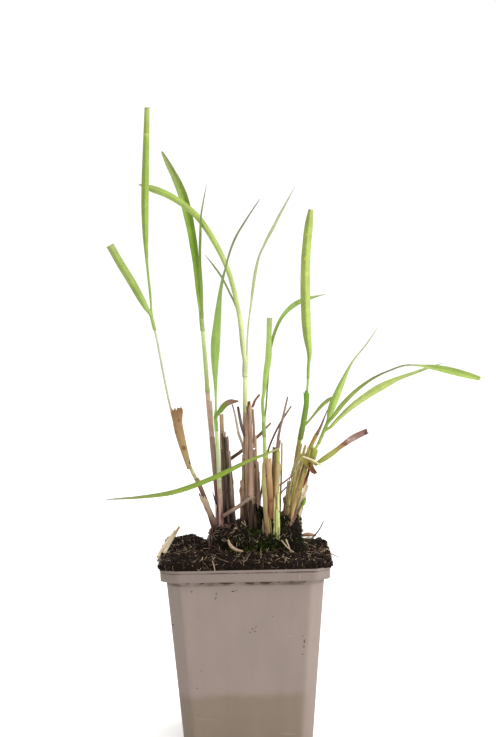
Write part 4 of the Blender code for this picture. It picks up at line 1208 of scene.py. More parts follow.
def earth_material(name, dark, light, tinted, grain_scale, sheen=0.0):
    """Milled peat and what lies in it: matt, fibrous, near black when wet and warm brown
    where a crumb has dried. A scattered piece adds its own tint."""
    material = bpy.data.materials.new(name)
    material.use_nodes = True
    tree = material.node_tree
    tree.nodes.clear()
    place = add(tree, "ShaderNodeTexCoord").outputs["Object"]
    lump = add(tree, "ShaderNodeTexNoise", None,
               {"Vector": place, "Scale": grain_scale, "Detail": 6, "Roughness": 0.68}).outputs["Fac"]
    patch = add(tree, "ShaderNodeTexNoise", None, {"Vector": place, "Scale": 90.0, "Detail": 2}).outputs["Fac"]
    amount = add(tree, "ShaderNodeMapRange", None, {0: lump, 1: 0.34, 2: 0.72, 3: 0.0, 4: 0.8}).outputs[0]
    if tinted:
        tint = add(tree, "ShaderNodeAttribute", {"attribute_name": "tint"}).outputs["Fac"]
        tint = add(tree, "ShaderNodeMath", {"operation": "POWER"}, {0: tint, 1: 2.2}).outputs[0]
        amount = add(tree, "ShaderNodeMath", {"operation": "MULTIPLY_ADD"},
                     {0: amount, 1: 0.45, 2: tint}).outputs[0]
    amount = add(tree, "ShaderNodeMath", {"operation": "MULTIPLY"},
                 {0: amount, 1: add(tree, "ShaderNodeMapRange", None,
                                    {0: patch, 1: 0.35, 2: 0.65, 3: 0.6, 4: 1.15}).outputs[0]}).outputs[0]
    amount = add(tree, "ShaderNodeClamp", None, {0: amount}).outputs[0]
    colour = add(tree, "ShaderNodeMix", {"data_type": "RGBA"}, {0: amount, 6: dark, 7: light}).outputs[2]
    bump = add(tree, "ShaderNodeBump", None,
               {"Height": lump, "Strength": 0.9, "Distance": 0.0006}).outputs[0]
    rough = add(tree, "ShaderNodeMapRange", None, {0: lump, 1: 0.2, 2: 0.8, 3: 0.82, 4: 0.98}).outputs[0]
    shader = add(tree, "ShaderNodeBsdfPrincipled", None, {
        "Base Color": colour, "Roughness": rough, "Specular IOR Level": 0.1 + sheen,
        "Normal": bump}).outputs[0]
    add(tree, "ShaderNodeOutputMaterial", None, {"Surface": shader})
    return material


# ---------------------------------------------------------------- pot and soil surfaces

def square_reach(angle, half, chamfer, bend):
    """Distance from the centre to a chamfered square outline, with its bends softened."""
    c, s = abs(math.cos(angle)), abs(math.sin(angle))
    flat = half / max(c, s)
    corner = (2 * half - chamfer) / (c + s)
    low = min(flat, corner)
    return low - bend * math.log(math.exp(-(flat - low) / bend) + math.exp(-(corner - low) / bend))


def lofted(name, rings, closed_ends=True):
    """A mesh lofted through rings of points in millimetres, its ends closed by a fan."""
    mesh = bpy.data.meshes.new(name)
    count = len(rings[0])
    points = [p * MM for ring in rings for p in ring]
    faces = []
    for r in range(len(rings) - 1):
        for i in range(count):
            j = (i + 1) % count
            faces.append((r * count + i, r * count + j, (r + 1) * count + j, (r + 1) * count + i))
    if closed_ends:
        points.extend([middle_of(rings[0]) * MM, middle_of(rings[-1]) * MM])
        last = (len(rings) - 1) * count
        top = len(points) - 1
        for i in range(count):
            j = (i + 1) % count
            faces.append((j, i, top - 1))
            faces.append((last + i, last + j, top))
    mesh.from_pydata(points, [], faces)
    edit = bmesh.new()
    edit.from_mesh(mesh)
    bmesh.ops.recalc_face_normals(edit, faces=edit.faces)
    edit.to_mesh(mesh)
    edit.free()
    return mesh


def height_reader(node):
    """A function that gives the height in millimetres of a CAD node's top at (x, y)."""
    mesh = frame["nodes"][node].data
    tree = BVHTree.FromPolygons([v.co for v in mesh.vertices], [tuple(p.vertices) for p in mesh.polygons])

    def read(x, y, missing=None):
        """Highest of a few rays, so that a socket for a culm isn't read as a pit."""
        found = []
        for dx, dy in ((0, 0), (1.7, 0), (-1.7, 0), (0, 1.7), (0, -1.7)):
            hit = tree.ray_cast(Vector(((x + dx) * MM, (y + dy) * MM, 0.3)), Vector((0, 0, -1)))[0]
            if hit is not None:
                found.append(hit.z / MM)
        return max(found) if found else missing

    return read, tree


def compost_surface(angle_count, relief):
    """Rings of the compost's top, from the pot's rim to the root ball, in millimetres."""
    read, _ = height_reader("compost")
    _, root_tree = height_reader("root_ball")
    low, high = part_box("root_ball")
    cx, cy = (low.x + high.x) / 2 / MM, (low.y + high.y) / 2 / MM
    rings = []
    steps = 30
    for step in range(steps + 1):
        t = step / steps
        ring = []
        for k in range(angle_count):
            angle = math.tau * k / angle_count
            outer = square_reach(angle, RIM_HALF - 2.0, 7.0, 1.2)
            # Peat has spilled over both sides of the rim, highest towards the back.
            spill = ease((abs(outer * math.cos(angle)) / RIM_HALF - 0.8) / 0.12)
            spill = max(spill, 0.6 * ease((outer * math.sin(angle) / RIM_HALF - 0.8) / 0.12))
            outer += spill * (3.7 + 1.3 * ripple(math.cos(angle) * 5, math.sin(angle) * 5, 2))
            start = Vector((outer * math.cos(angle), outer * math.sin(angle), 0))
            way = Vector((cx - start.x, cy - start.y, 0)).normalized()
            origin = Vector((start.x * MM, start.y * MM, 0.098))
            hit = root_tree.ray_cast(origin, way)[0]
            end = Vector((hit.x / MM, hit.y / MM, 0)) if hit else Vector((cx, cy, 0))
            end += way * 1.5
            place = start.lerp(end, t)
            heap = ease((place.y + 40) / 80)
            z = read(place.x, place.y, POT_TOP + 1 + (3 if place.x < 0 else 1) * heap)
            z = max(z, POT_TOP - 0.4)
            lumps = grain_of((place.x, place.y, 4), 6.5, 4) * relief * 2.2
            lumps += abs(grain_of((place.x, place.y, 31), 2.4, 2)) * relief * 1.3
            lumps = max(-2.0, min(1.7, lumps))
            brim = ease(t * (8 + 6 * spill))
            side = ease((-place.x - 20) / 12) + 0.5 * ease((place.x - 30) / 10)
            edge = POT_TOP - 1.1 + spill * 1.3
            z = edge + (z + (1.0 + 3.4 * heap) * side - edge) * brim
            z += lumps * (0.3 + 0.7 * brim)
            ring.append(Vector((place.x, place.y, z)))
        rings.append(ring)
    return rings


def root_surface(angle_count):
    """Rings of the root ball from its foot, up its side and over its top, in millimetres."""
    read, tree = height_reader("root_ball")
    low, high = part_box("root_ball")
    cx, cy = (low.x + high.x) / 2 / MM, (low.y + high.y) / 2 / MM
    base = low.z / MM
    rings = []
    levels = [base + 0.5, base + 4, base + 12, 74, 84, 92, 97, 100, 102, 104, 106, 107.5, 109]
    widest = []
    for level in levels:
        ring = []
        for k in range(angle_count):
            angle = math.tau * k / angle_count
            way = Vector((math.cos(angle), math.sin(angle), 0))
            origin = Vector((cx * MM, cy * MM, level * MM)) + way * 0.08
            hit = tree.ray_cast(origin, -way)[0]
            reach = Vector((hit.x / MM - cx, hit.y / MM - cy, 0)).length if hit else 20.0
            reach = max(reach, 17.0)
            lump = grain_of((cx + reach * way.x, cy + reach * way.y, level), 5, 4)
            reach += 0.9 * lump * (1 if level > 90 else 0.3)
            ring.append(Vector((cx + way.x * reach, cy + way.y * reach, level)))
        rings.append(ring)
        widest = ring
    for share in (0.985, 0.95, 0.9, 0.84, 0.77, 0.7, 0.62, 0.54, 0.46, 0.38, 0.3, 0.22, 0.14, 0.06):
        ring = []
        for point in widest:
            x, y = cx + (point.x - cx) * share, cy + (point.y - cy) * share
            z = read(x * 0.96 + cx * 0.04, y * 0.96 + cy * 0.04, 111.0)
            z += 1.5 * grain_of((x, y, 9), 5.5, 4) + 0.9 * abs(grain_of((x, y, 3), 2.0, 2))
            # A black mound at the right ends in a steep side; moss humps behind the middle.
            right = ease((x - 17) / 6)
            z += 3.0 * right + 5.0 * math.exp(-((x - 6) / 7) ** 2 - ((y - 5) / 7) ** 2)
            z -= 4.4 * ease((-4 - y) / 9) * ease((x + 1) / 7) * ease((22 - x) / 5)
            z -= 2.1 * (1 - ease((1 - share) * 7)) * (1 - right)
            ring.append(Vector((x, y, max(z, 109.3))))
        rings.append(ring)
    return rings


# ---------------------------------------------------------------- scattering

def lump_piece(name, seed, size, flat, roughness, fine=False):
    """A small irregular lump with two dozen faces, in metres, about size across."""
    edit = bmesh.new()
    if fine:
        bmesh.ops.create_icosphere(edit, subdivisions=1, radius=0.5)
    else:
        bmesh.ops.create_cube(edit, size=1.0)
        bmesh.ops.subdivide_edges(edit, edges=edit.edges, cuts=1, use_grid_fill=True)
    rng = random.Random(seed)
    for vert in edit.verts:
        vert.co = vert.co.normalized() * 0.5
        vert.co *= 1 + roughness * ripple(*(vert.co * 3.1), ) + rng.uniform(-0.14, 0.14)
        vert.co = Vector((vert.co.x * 1.25, vert.co.y * 0.85, vert.co.z * flat)) * size
    return small_object(name, edit)


def fibre_piece(name, seed, length, radius):
    """A bent root fibre: a four-sided tapering thread that lies near the ground."""
    rng = random.Random(seed)
    edit = bmesh.new()
    heading, tilt = 0.0, rng.uniform(-0.1, 0.25)
    place = Vector((-length / 2, 0, 0))
    rings = []
    steps = 6
    for step in range(steps + 1):
        width = radius * (1 - 0.75 * step / steps)
        side = Vector((-math.sin(heading), math.cos(heading), 0))
        rings.append([edit.verts.new(place + side * width), edit.verts.new(place + Vector((0, 0, width))),
                      edit.verts.new(place - side * width), edit.verts.new(place - Vector((0, 0, width)))])
        heading += rng.uniform(-0.55, 0.55)
        tilt += rng.uniform(-0.3, 0.22)
        place = place + Vector((math.cos(heading), math.sin(heading), tilt)).normalized() * length / steps
    for a, b in zip(rings, rings[1:]):
        for k in range(4):
            edit.faces.new((a[k], a[(k + 1) % 4], b[(k + 1) % 4], b[k]))
    edit.faces.new(rings[0][::-1])
    edit.faces.new(rings[-1])
    bmesh.ops.recalc_face_normals(edit, faces=edit.faces)
    return small_object(name, edit)


def moss_piece(name, seed, size):
    """A moss shoot: a few short pointed leaflets round a stem."""
    rng = random.Random(seed)
    edit = bmesh.new()
    for k in range(7):
        turn = k * 2.4 + rng.uniform(-0.3, 0.3)
        lean = rng.uniform(0.25, 0.95)
        out = Vector((math.cos(turn) * lean, math.sin(turn) * lean, 1)).normalized()
        side = out.cross(Vector((0, 0, 1))).normalized() * size * 0.13
        thick = side.cross(out).normalized() * size * 0.05
        foot = Vector((0, 0, size * 0.09 * k))
        middle = foot + out * size * 0.5
        base = edit.verts.new(foot)
        tip = edit.verts.new(foot + out * size * rng.uniform(0.8, 1.1) + Vector((0, 0, -size * 0.1)))
        ring = [edit.verts.new(middle + side), edit.verts.new(middle + thick),
                edit.verts.new(middle - side), edit.verts.new(middle - thick)]
        for n in range(4):
            edit.faces.new((base, ring[(n + 1) % 4], ring[n]))
            edit.faces.new((tip, ring[n], ring[(n + 1) % 4]))
    bmesh.ops.recalc_face_normals(edit, faces=edit.faces)
    return small_object(name, edit)


def small_object(name, edit):
    """An object for scattering, smooth shaded."""
    mesh = bpy.data.meshes.new(name)
    edit.to_mesh(mesh)
    edit.free()
    mesh.polygons.foreach_set("use_smooth", [True] * len(mesh.polygons))
    return bpy.data.objects.new(name, mesh)


def scatter_tree():
    """Geometry nodes that strew pieces of a collection over the faces of a surface."""
    name = "strew_over_surface"
    if name in bpy.data.node_groups:
        return bpy.data.node_groups[name]
    tree = bpy.data.node_groups.new(name, "GeometryNodeTree")
    for label, kind, flow in (
            ("Surface", "NodeSocketGeometry", "INPUT"), ("Per square metre", "NodeSocketFloat", "INPUT"),
            ("Smallest", "NodeSocketFloat", "INPUT"), ("Largest", "NodeSocketFloat", "INPUT"),
            ("Tumble", "NodeSocketFloat", "INPUT"), ("Seed", "NodeSocketInt", "INPUT"),
            ("Pieces", "NodeSocketCollection", "INPUT"), ("Finish", "NodeSocketMaterial", "INPUT"),
            ("Strewn", "NodeSocketGeometry", "OUTPUT")):
        tree.interface.new_socket(name=label, in_out=flow, socket_type=kind)
    given = add(tree, "NodeGroupInput").outputs
    cover = add(tree, "GeometryNodeInputNamedAttribute", {"data_type": "FLOAT"}, {"Name": "cover"})
    density = add(tree, "ShaderNodeMath", {"operation": "MULTIPLY"},
                  {0: given["Per square metre"], 1: cover.outputs["Attribute"]}).outputs[0]
    spread = add(tree, "GeometryNodeDistributePointsOnFaces", {"distribute_method": "RANDOM"},
                 {"Mesh": given["Surface"], "Density": density, "Seed": given["Seed"]})
    spin = add(tree, "FunctionNodeRandomValue", {"data_type": "FLOAT"},
               {2: 0.0, 3: math.tau, "Seed": 11}).outputs[1]
    spin = add(tree, "ShaderNodeCombineXYZ", None, {"Z": spin}).outputs[0]
    spun = add(tree, "FunctionNodeRotateRotation", {"rotation_space": "LOCAL"},
               {"Rotation": spread.outputs["Rotation"], "Rotate By": spin}).outputs[0]
    minus = add(tree, "ShaderNodeMath", {"operation": "MULTIPLY"}, {0: given["Tumble"], 1: -1.0}).outputs[0]
    low = add(tree, "ShaderNodeCombineXYZ", None, {0: minus, 1: minus, 2: 0.0}).outputs[0]
    high = add(tree, "ShaderNodeCombineXYZ", None, {0: given["Tumble"], 1: given["Tumble"], 2: 0.0}).outputs[0]
    lean = add(tree, "FunctionNodeRandomValue", {"data_type": "FLOAT_VECTOR"},
               {0: low, 1: high, "Seed": 23}).outputs[0]
    turned = add(tree, "FunctionNodeRotateRotation", {"rotation_space": "LOCAL"},
                 {"Rotation": spun, "Rotate By": lean}).outputs[0]
    chance = add(tree, "FunctionNodeRandomValue", {"data_type": "FLOAT"}, {2: 0.0, 3: 1.0, "Seed": 5}).outputs[1]
    chance = add(tree, "ShaderNodeMath", {"operation": "POWER"}, {0: chance, 1: 2.0}).outputs[0]
    size = add(tree, "ShaderNodeMapRange", None,
               {0: chance, 1: 0.0, 2: 1.0, 3: given["Smallest"], 4: given["Largest"]}).outputs[0]
    pick = add(tree, "FunctionNodeRandomValue", {"data_type": "INT"}, {4: 0, 5: 31, "Seed": 3}).outputs[2]
    pieces = add(tree, "GeometryNodeCollectionInfo", None,
                 {"Collection": given["Pieces"], "Separate Children": True, "Reset Children": True}).outputs[0]
    placed = add(tree, "GeometryNodeInstanceOnPoints", None,
                 {"Points": spread.outputs["Points"], "Instance": pieces, "Pick Instance": True,
                  "Instance Index": pick, "Rotation": turned, "Scale": size}).outputs[0]
    tint = add(tree, "FunctionNodeRandomValue", {"data_type": "FLOAT"}, {2: 0.0, 3: 1.0, "Seed": 41}).outputs[1]
    stored = add(tree, "GeometryNodeStoreNamedAttribute", {"data_type": "FLOAT", "domain": "INSTANCE"},
                 {"Geometry": placed, "Name": "tint", "Value": tint}).outputs[0]
    real = add(tree, "GeometryNodeRealizeInstances", None, {"Geometry": stored}).outputs[0]
    painted = add(tree, "GeometryNodeSetMaterial", None, {"Geometry": real, "Material": given["Finish"]}).outputs[0]
    add(tree, "NodeGroupOutput", None, {"Strewn": painted})
    return tree


def scatter(name, surface, cover, per_cm2, sizes, tumble, seed, pieces, finish):
    """Strews pieces over a surface mesh and keeps the result as one plain mesh."""
    host_mesh = surface.copy()
    weights = host_mesh.attributes.new("cover", "FLOAT", "POINT")
    weights.data.foreach_set("value", [cover(v.co / MM) for v in host_mesh.vertices])
    host = bpy.data.objects.new(name + "_host", host_mesh)
    bpy.context.scene.collection.objects.link(host)
    group = bpy.data.collections.new(name + "_pieces")
    for piece in pieces:
        group.objects.link(piece)
    tree = scatter_tree()
    modifier = host.modifiers.new("strew", "NODES")
    modifier.node_group = tree
    values = {"Per square metre": per_cm2 * 1e4, "Smallest": sizes[0], "Largest": sizes[1],
              "Tumble": tumble, "Seed": seed, "Pieces": group, "Finish": finish}
    for item in tree.interface.items_tree:
        if item.in_out == "INPUT" and item.name in values:
            modifier[item.identifier] = values[item.name]
    graph = bpy.context.evaluated_depsgraph_get()
    made = bpy.data.meshes.new_from_object(
        host.evaluated_get(graph), preserve_all_data_layers=True, depsgraph=graph)
    made.name = name
    host.modifiers.remove(modifier)
    bpy.data.objects.remove(host)
    for piece in list(group.objects):
        bpy.data.objects.remove(piece)
    bpy.data.collections.remove(group)
    if not made.polygons:
        raise RuntimeError(name + " came out empty")
    return keep(name, made)


def surface_mesh(name, rings):
    """An open surface through rings of points in millimetres, for scattering on."""
    mesh = lofted(name, rings, closed_ends=False)
    if sum(p.normal.z for p in mesh.polygons) < 0:
        mesh.flip_normals()
    return mesh


# ---------------------------------------------------------------- operators

class GRASS_OT_stage(bpy.types.Operator):
    """Sets up the camera, the pale floor and the soft studio light"""

    bl_idname = "grass.stage"
    bl_label = "Stage"

    def execute(self, context):
        stage = context.scene.grass_stage
        data = bpy.data.cameras.new("camera")
        data.lens = stage.lens
        data.sensor_width = 36
        data.clip_start, data.clip_end = 0.01, 50
        camera = bpy.data.objects.new("camera", data)
        context.scene.collection.objects.link(camera)
        camera.matrix_world = (Matrix.Translation(stage.eye) @ Matrix.Rotation(stage.pitch, 4, "X")
                               @ Matrix.Rotation(stage.roll, 4, "Z"))
        context.scene.camera = camera
        edit = bmesh.new()
        bmesh.ops.create_grid(edit, x_segments=1, y_segments=1, size=6)
        floor_mesh = bpy.data.meshes.new("floor")
        edit.to_mesh(floor_mesh)
        edit.free()
        floor = bpy.data.objects.new("floor", floor_mesh)
        context.scene.collection.objects.link(floor)
        # Studio paper: matt and near white, lit a little from below.
        paper = bpy.data.materials.new("studio_paper_matt")
        paper.use_nodes = True
        shader = paper.node_tree.nodes["Principled BSDF"]
        shader.inputs["Base Color"].default_value = linear("#F7F6F4")
        shader.inputs["Roughness"].default_value = 0.9
        shader.inputs["Specular IOR Level"].default_value = 0.1
        shader.inputs["Emission Color"].default_value = (1, 1, 1, 1)
        shader.inputs["Emission Strength"].default_value = 0.25
        floor_mesh.materials.append(paper)
        world = bpy.data.worlds.new("white_studio")
        world.use_nodes = True
        back = world.node_tree.nodes["Background"]
        back.inputs["Color"].default_value = (1, 1, 1, 1)
        back.inputs["Strength"].default_value = stage.daylight
        context.scene.world = world
        for name, place, power, size in (
                ("key", (1.35, -0.5, 0.8), stage.key, 0.8),
                ("rear", (0.35, 1.1, 0.9), stage.key * 0.25, 0.9)):
            light_data = bpy.data.lights.new(name, "AREA")
            light_data.energy = power
            light_data.size = size
            light = bpy.data.objects.new(name, light_data)
            context.scene.collection.objects.link(light)
            light.location = place
            aim = Vector((0, 0, 0.12)) - Vector(place)
            light.rotation_euler = aim.to_track_quat("-Z", "Y").to_euler()
        context.scene.view_settings.view_transform = "Standard"
        context.scene.view_settings.look = "None"
        return {"FINISHED"}


class GRASS_OT_pot(bpy.types.Operator):
    """Moulds the square nursery pot with its rim, lip and drain holes"""

    bl_idname = "grass.pot"
    bl_label = "Pot"

    def execute(self, context):
        pot = context.scene.grass_pot
        wall, bend = pot.wall / MM, pot.bend / MM
        count = 320
        top, rim = POT_TOP, RIM_HALF
        under = top - 6.4
        body = [(34 + (41.5 - 34) * z / under, 5.8 + 1.2 * z / under, z)
                for z in (1.2, 4, 8, 12, 16, 20, 24, 28, 32, 38, 44, 50, 56, 62, 68, 73, 78, 82, 85, 87)]
        outside = [(32.4, 5.8, 0.0), (33.2, 5.8, 0.06), (33.7, 5.8, 0.32), (34.0, 5.8, 0.7), *body,
                   (41.42, 7.0, under - 0.75), (41.55, 7.0, under - 0.35), (41.9, 7.0, under - 0.12),
                   (42.6, 7.1, under - 0.02), (43.6, 7.3, under), (44.1, 7.4, under + 0.12),
                   (44.36, 7.4, under + 0.42), (44.46, 7.4, under + 0.9), (44.52, 7.4, under + 2.6),
                   (44.6, 7.4, top - 1.95), (44.56, 7.4, top - 1.72), (44.38, 7.4, top - 1.55),
                   (44.36, 7.4, top - 1.42), (44.6, 7.4, top - 1.22), (44.88, 7.4, top - 1.02),
                   (rim - 0.02, 7.4, top - 0.72), (rim, 7.4, top - 0.5), (rim - 0.06, 7.4, top - 0.26),
                   (rim - 0.26, 7.4, top - 0.07), (rim - 0.55, 7.4, top)]
        inside = [(rim - 1.0, 7.3, top), (rim - 1.26, 7.2, top - 0.1), (rim - 1.42, 7.1, top - 0.4),
                  (rim - 1.6, 7.0, under + 1.7), (rim - 1.9, 6.9, under + 1.1),
                  (rim - 3.0, 6.8, under + 0.5), (41.5 - wall + 0.2, 6.6, under - 0.3),
                  (41.4 - wall, 6.5, under - 1.2), (37.9 - wall, 6.1, 44),
                  (34.3 - wall, 5.4, 4.0), (33.9 - wall, 5.4, 2.2), (33.2 - wall, 5.3, 1.6),
                  (31.8 - wall, 5.2, 1.4)]
        rings = []
        for share in (0.25, 0.55, 0.8, 0.93):
            rings.append([Vector((p.x * share, p.y * share, 0.0)) for p in self.outline(32.4, 5.8, 0, count, bend)])
        for half, chamfer, z in outside + inside:
            rings.append(self.outline(half, chamfer, z, count, bend))
        for share in (0.93, 0.8, 0.55, 0.25):
            rings.append([Vector((p.x * share, p.y * share, 1.4)) for p in self.outline(31.8 - wall, 5.2, 0, count, bend)])
        mesh = lofted("pot_body", rings)
        body_object = bpy.data.objects.new("pot_blank", mesh)
        context.scene.collection.objects.link(body_object)
        drills = []
        for k in range(8):
            angle = math.tau * k / 8
            reach = 22.0 * (1.18 if k % 2 else 1.0)
            centre = Vector((reach * math.cos(angle), reach * math.sin(angle), 0))
            ring = [[centre + Vector((math.cos(a) * r, math.sin(a) * r, z))
                     for a in (math.tau * n / 40 for n in range(40))]
                    for r, z in ((pot.drain / MM / 2 + 0.5, -1), (pot.drain / MM / 2 + 0.5, 0.0),
                                 (pot.drain / MM / 2, 0.45), (pot.drain / MM / 2, 4))]
            drill = bpy.data.objects.new("drill_%d" % k, lofted("drill", ring))
            context.scene.collection.objects.link(drill)
            cut = body_object.modifiers.new("drain", "BOOLEAN")
            cut.operation = "DIFFERENCE"
            cut.solver = "EXACT"
            cut.object = drill
            drills.append(drill)
        graph = context.evaluated_depsgraph_get()
        made = bpy.data.meshes.new_from_object(body_object.evaluated_get(graph), depsgraph=graph)
        made.name = "pot_moulded"
        for thing in (body_object, *drills):
            bpy.data.objects.remove(thing)
        made.materials.clear()
        made.materials.append(pot_material(pot))
        keep("pot_moulded", made, ["pot"])
        return {"FINISHED"}

    def outline(self, half, chamfer, z, count, bend):
        """One ring of the pot."""
        ring = []
        for k in range(count):
            angle = math.tau * k / count
            reach = square_reach(angle, half, chamfer, bend)
            ring.append(Vector((reach * math.cos(angle), reach * math.sin(angle), z)))
        return ring


class GRASS_OT_dirt_and_shade(bpy.types.Operator):
    """Sticks small flakes of wet peat to the pot's wall, and dark peat smears under its rim and in the groove under
    its lip that also paint the shade there
    """

    bl_idname = "grass.dirt"
    bl_label = "Dirt and painted shade on the pot"

    # (x, z, length, width, slant in degrees) of each flake on the front wall.
    FLAKES = [
        (-28, 83.8, 1.0, 0.7, 20), (-15.2, 82.4, 2.2, 0.35, 80), (-15.6, 80.2, 1.8, 0.45, 60),
        (-6.5, 83.6, 2.4, 0.45, 12), (-4.6, 84.0, 1.0, 0.4, 0), (3.2, 63.5, 1.4, 0.5, 30),
        (4.4, 62.2, 0.9, 0.6, 0), (5.2, 64.6, 1.2, 0.4, 50), (2.0, 61.6, 0.9, 0.5, 10),
        (-38.2, 66.5, 0.9, 0.6, 0), (-26.3, 32.2, 1.0, 0.5, 0), (30.2, 56.5, 2.6, 0.5, 86),
        (30.0, 53.6, 1.2, 0.7, 70), (29.2, 49.5, 0.9, 0.7, 0), (29.6, 59.0, 0.8, 0.4, 40),
        (-26.0, 18.0, 0.9, 0.4, 10), (14, 70, 1.4, 0.25, 5), (-24, 41.5, 0.7, 0.5, 0)]
    # (x, length, height) of each dark smear in the corner under the rim: peat, and painted shade under the rim.
    SMEARS = [(-22.5, 3.0, 0.7), (-9.5, 4.0, 1.1), (-7.2, 3.0, 0.8), (-12.4, 2.4, 0.6), (1.8, 3.6, 1.2),
              (3.4, 2.4, 1.5), (0.2, 1.6, 0.7), (9.2, 3.4, 1.0), (11.2, 2.6, 1.3), (13.0, 1.6, 0.7),
              (17.5, 2.2, 0.5), (24.0, 2.0, 0.5), (-30, 2.4, 0.5), (30.5, 2.6, 0.5)]

    def execute(self, context):
        earth = context.scene.grass_soil
        edit = bmesh.new()
        rng = random.Random(17)
        spots = []
        for x, z, long, wide, slant in self.FLAKES:
            spots.append((0, x, z, long, wide, math.radians(slant), 0.16))
        for x, long, tall in self.SMEARS:
            spots.append((0, x, 88.2 - tall * 0.35, long, tall, rng.uniform(-0.1, 0.1), 0.35))
        # Painted shade: dark peat flakes along the groove under the lip.
        for x, long in ((-16.5, 1.2), (-5, 1.6), (1.5, 1.4), (6.5, 2.2), (13.5, 1.0), (16, 1.4),
                        (24.5, 2.0), (27.5, 3.0), (31.5, 2.6), (35, 2.2)):
            spots.append((0, x, 93.55, long, 0.42, 0, 0.3))
        for side in (1, 2, 3):
            for _ in range(14):
                spots.append((side, rng.uniform(-31, 31), rng.uniform(12, 85), rng.uniform(0.6, 2.0),
                              rng.uniform(0.3, 0.7), rng.uniform(0, 3.1), 0.16))
            # Dark smears under the rim of the other sides: peat, and painted shade under the rim.
            for _ in range(9):
                x = rng.uniform(-33, 33)
                spots.append((side, x, 87.9, rng.uniform(1.4, 3.6), rng.uniform(0.5, 1.2), 0, 0.35))
        for side, x, z, long, wide, slant, thick in spots:
            half = 34 + 7.5 * z / 88.6 if z < 88.6 else 44.4
            self.flake(edit, rng, side, x, half - 0.05, z, long, wide, slant, thick)
        bmesh.ops.recalc_face_normals(edit, faces=edit.faces)
        mesh = bpy.data.meshes.new("peat_flakes")
        edit.to_mesh(mesh)
        edit.free()
        mesh.materials.append(earth_material(
            "peat_dried_on", linear("#3A2D25"), linear("#6E5C4E"), False, 1500))
        keep("peat_flakes_on_pot", mesh)
        return {"FINISHED"}

    def flake(self, edit, rng, side, x, out, z, long, wide, slant, thick):
        """A low irregular blister that grips the wall."""
        turn = Matrix.Rotation(math.radians(90 * side), 3, "Z")
        count = 12
        rims = []
        shape = [1 + rng.uniform(-0.3, 0.3) for _ in range(count)]
        for scale, lift in ((1.0, -0.12), (1.0, 0.02), (0.62, thick)):
            ring = []
            for k in range(count):
                angle = math.tau * k / count
                a = math.cos(angle) * long / 2 * shape[k] * scale
                b = math.sin(angle) * wide / 2 * shape[k] * scale
                dx = a * math.cos(slant) - b * math.sin(slant)
                dz = a * math.sin(slant) + b * math.cos(slant)
                ring.append(edit.verts.new(turn @ (Vector((x + dx, -(out + lift), z + dz)) * MM)))
            rims.append(ring)
        for low, high in zip(rims, rims[1:]):
            for k in range(count):
                edit.faces.new((low[k], low[(k + 1) % count], high[(k + 1) % count], high[k]))
        edit.faces.new(rims[0][::-1])
        edit.faces.new(rims[-1])


class GRASS_OT_compost(bpy.types.Operator):
    """Fills the pot with peat compost and leaves a pocket for the root ball"""

    bl_idname = "grass.compost"
    bl_label = "Compost"

    def execute(self, context):
        soil = context.scene.grass_soil
        count = 200
        top = compost_surface(count, soil.relief / MM)
        outline = []
        for half, chamfer, z in ((32.6, 5.4, 1.9), (34.5, 5.6, 24), (37.3, 6, 58), (40.1, 6.6, 87.5),
                                 (42.6, 6.9, 90.6), (42.9, 6.9, POT_TOP - 1.0)):
            ring = []
            for k in range(count):
                angle = math.tau * k / count
                reach = square_reach(angle, half, chamfer, 1.0)
                ring.append(Vector((reach * math.cos(angle), reach * math.sin(angle), z)))
            outline.append(ring)
        pocket = []
        low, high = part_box("root_ball")
        cx, cy = (low.x + high.x) / 2 / MM, (low.y + high.y) / 2 / MM
        floor = low.z / MM - 0.6
        for share, z in ((1.0, 96.0), (0.98, 84.0), (0.92, 66.0), (0.84, floor + 4), (0.7, floor)):
            pocket.append([Vector((cx + (p.x - cx) * share, cy + (p.y - cy) * share, z)) for p in top[-1]])
        mesh = lofted("compost_filled", outline + top + pocket)
        mesh.materials.append(earth_material(
            "peat_compost_moist", (*soil.peat_dark, 1), (*soil.peat_light, 1), False, 900))
        keep("compost_filled", mesh, ["compost"])
        return {"FINISHED"}


class GRASS_OT_root_ball(bpy.types.Operator):
    """Rebuilds the matted root ball that carries the culms"""

    bl_idname = "grass.root_ball"
    bl_label = "Root ball"

    def execute(self, context):
        soil = context.scene.grass_soil
        mesh = lofted("root_ball_matted", root_surface(180))
        mesh.materials.append(earth_material(
            "root_mat_moist", linear("#0B0705"), linear("#211811"), False, 700))
        keep("root_ball_matted", mesh, ["root_ball"])
        return {"FINISHED"}


# Peat heaps on the root ball: (x, y, foot, reach along x, reach along y, crown, moss).
MOUNDS = {
    "mound_right": (25.2, -7.0, 99, 6.2, 9.5, 119.6, 0.12),
    "mound_mossy": (8.4, -6.5, 100, 4.8, 5.5, 123.6, 0.9),
    "mound_foot": (14.5, -17.0, 98, 7.0, 5.0, 109.5, 0.6),
    "mound_middle": (-0.5, -4.0, 100, 6.5, 5.5, 114.5, 0.15),
}


def mound_rings(cx, cy, base, reach_x, reach_y, top, seed):
    """Rings of a steep lumpy mound from its foot to its crown, in millimetres."""
    rings = []
    for share in (1.0, 0.99, 0.965, 0.93, 0.88, 0.81, 0.72, 0.61, 0.48, 0.34, 0.2, 0.07):
        ring = []
        for k in range(72):
            angle = math.tau * k / 72
            x, y = reach_x * share * math.cos(angle), reach_y * share * math.sin(angle)
            z = base + (top - base) * (1 - share ** 2.6) ** 0.6
            lump = 1 + 0.14 * grain_of((cx + x, cy + y, z * 0.7 + seed), 4.5, 3)
            z += 1.1 * grain_of((cx + x, cy + y, seed), 3, 2) * (1 - share)
            ring.append(Vector((cx + x * lump, cy + y * lump, z)))
        rings.append(ring)
    return rings


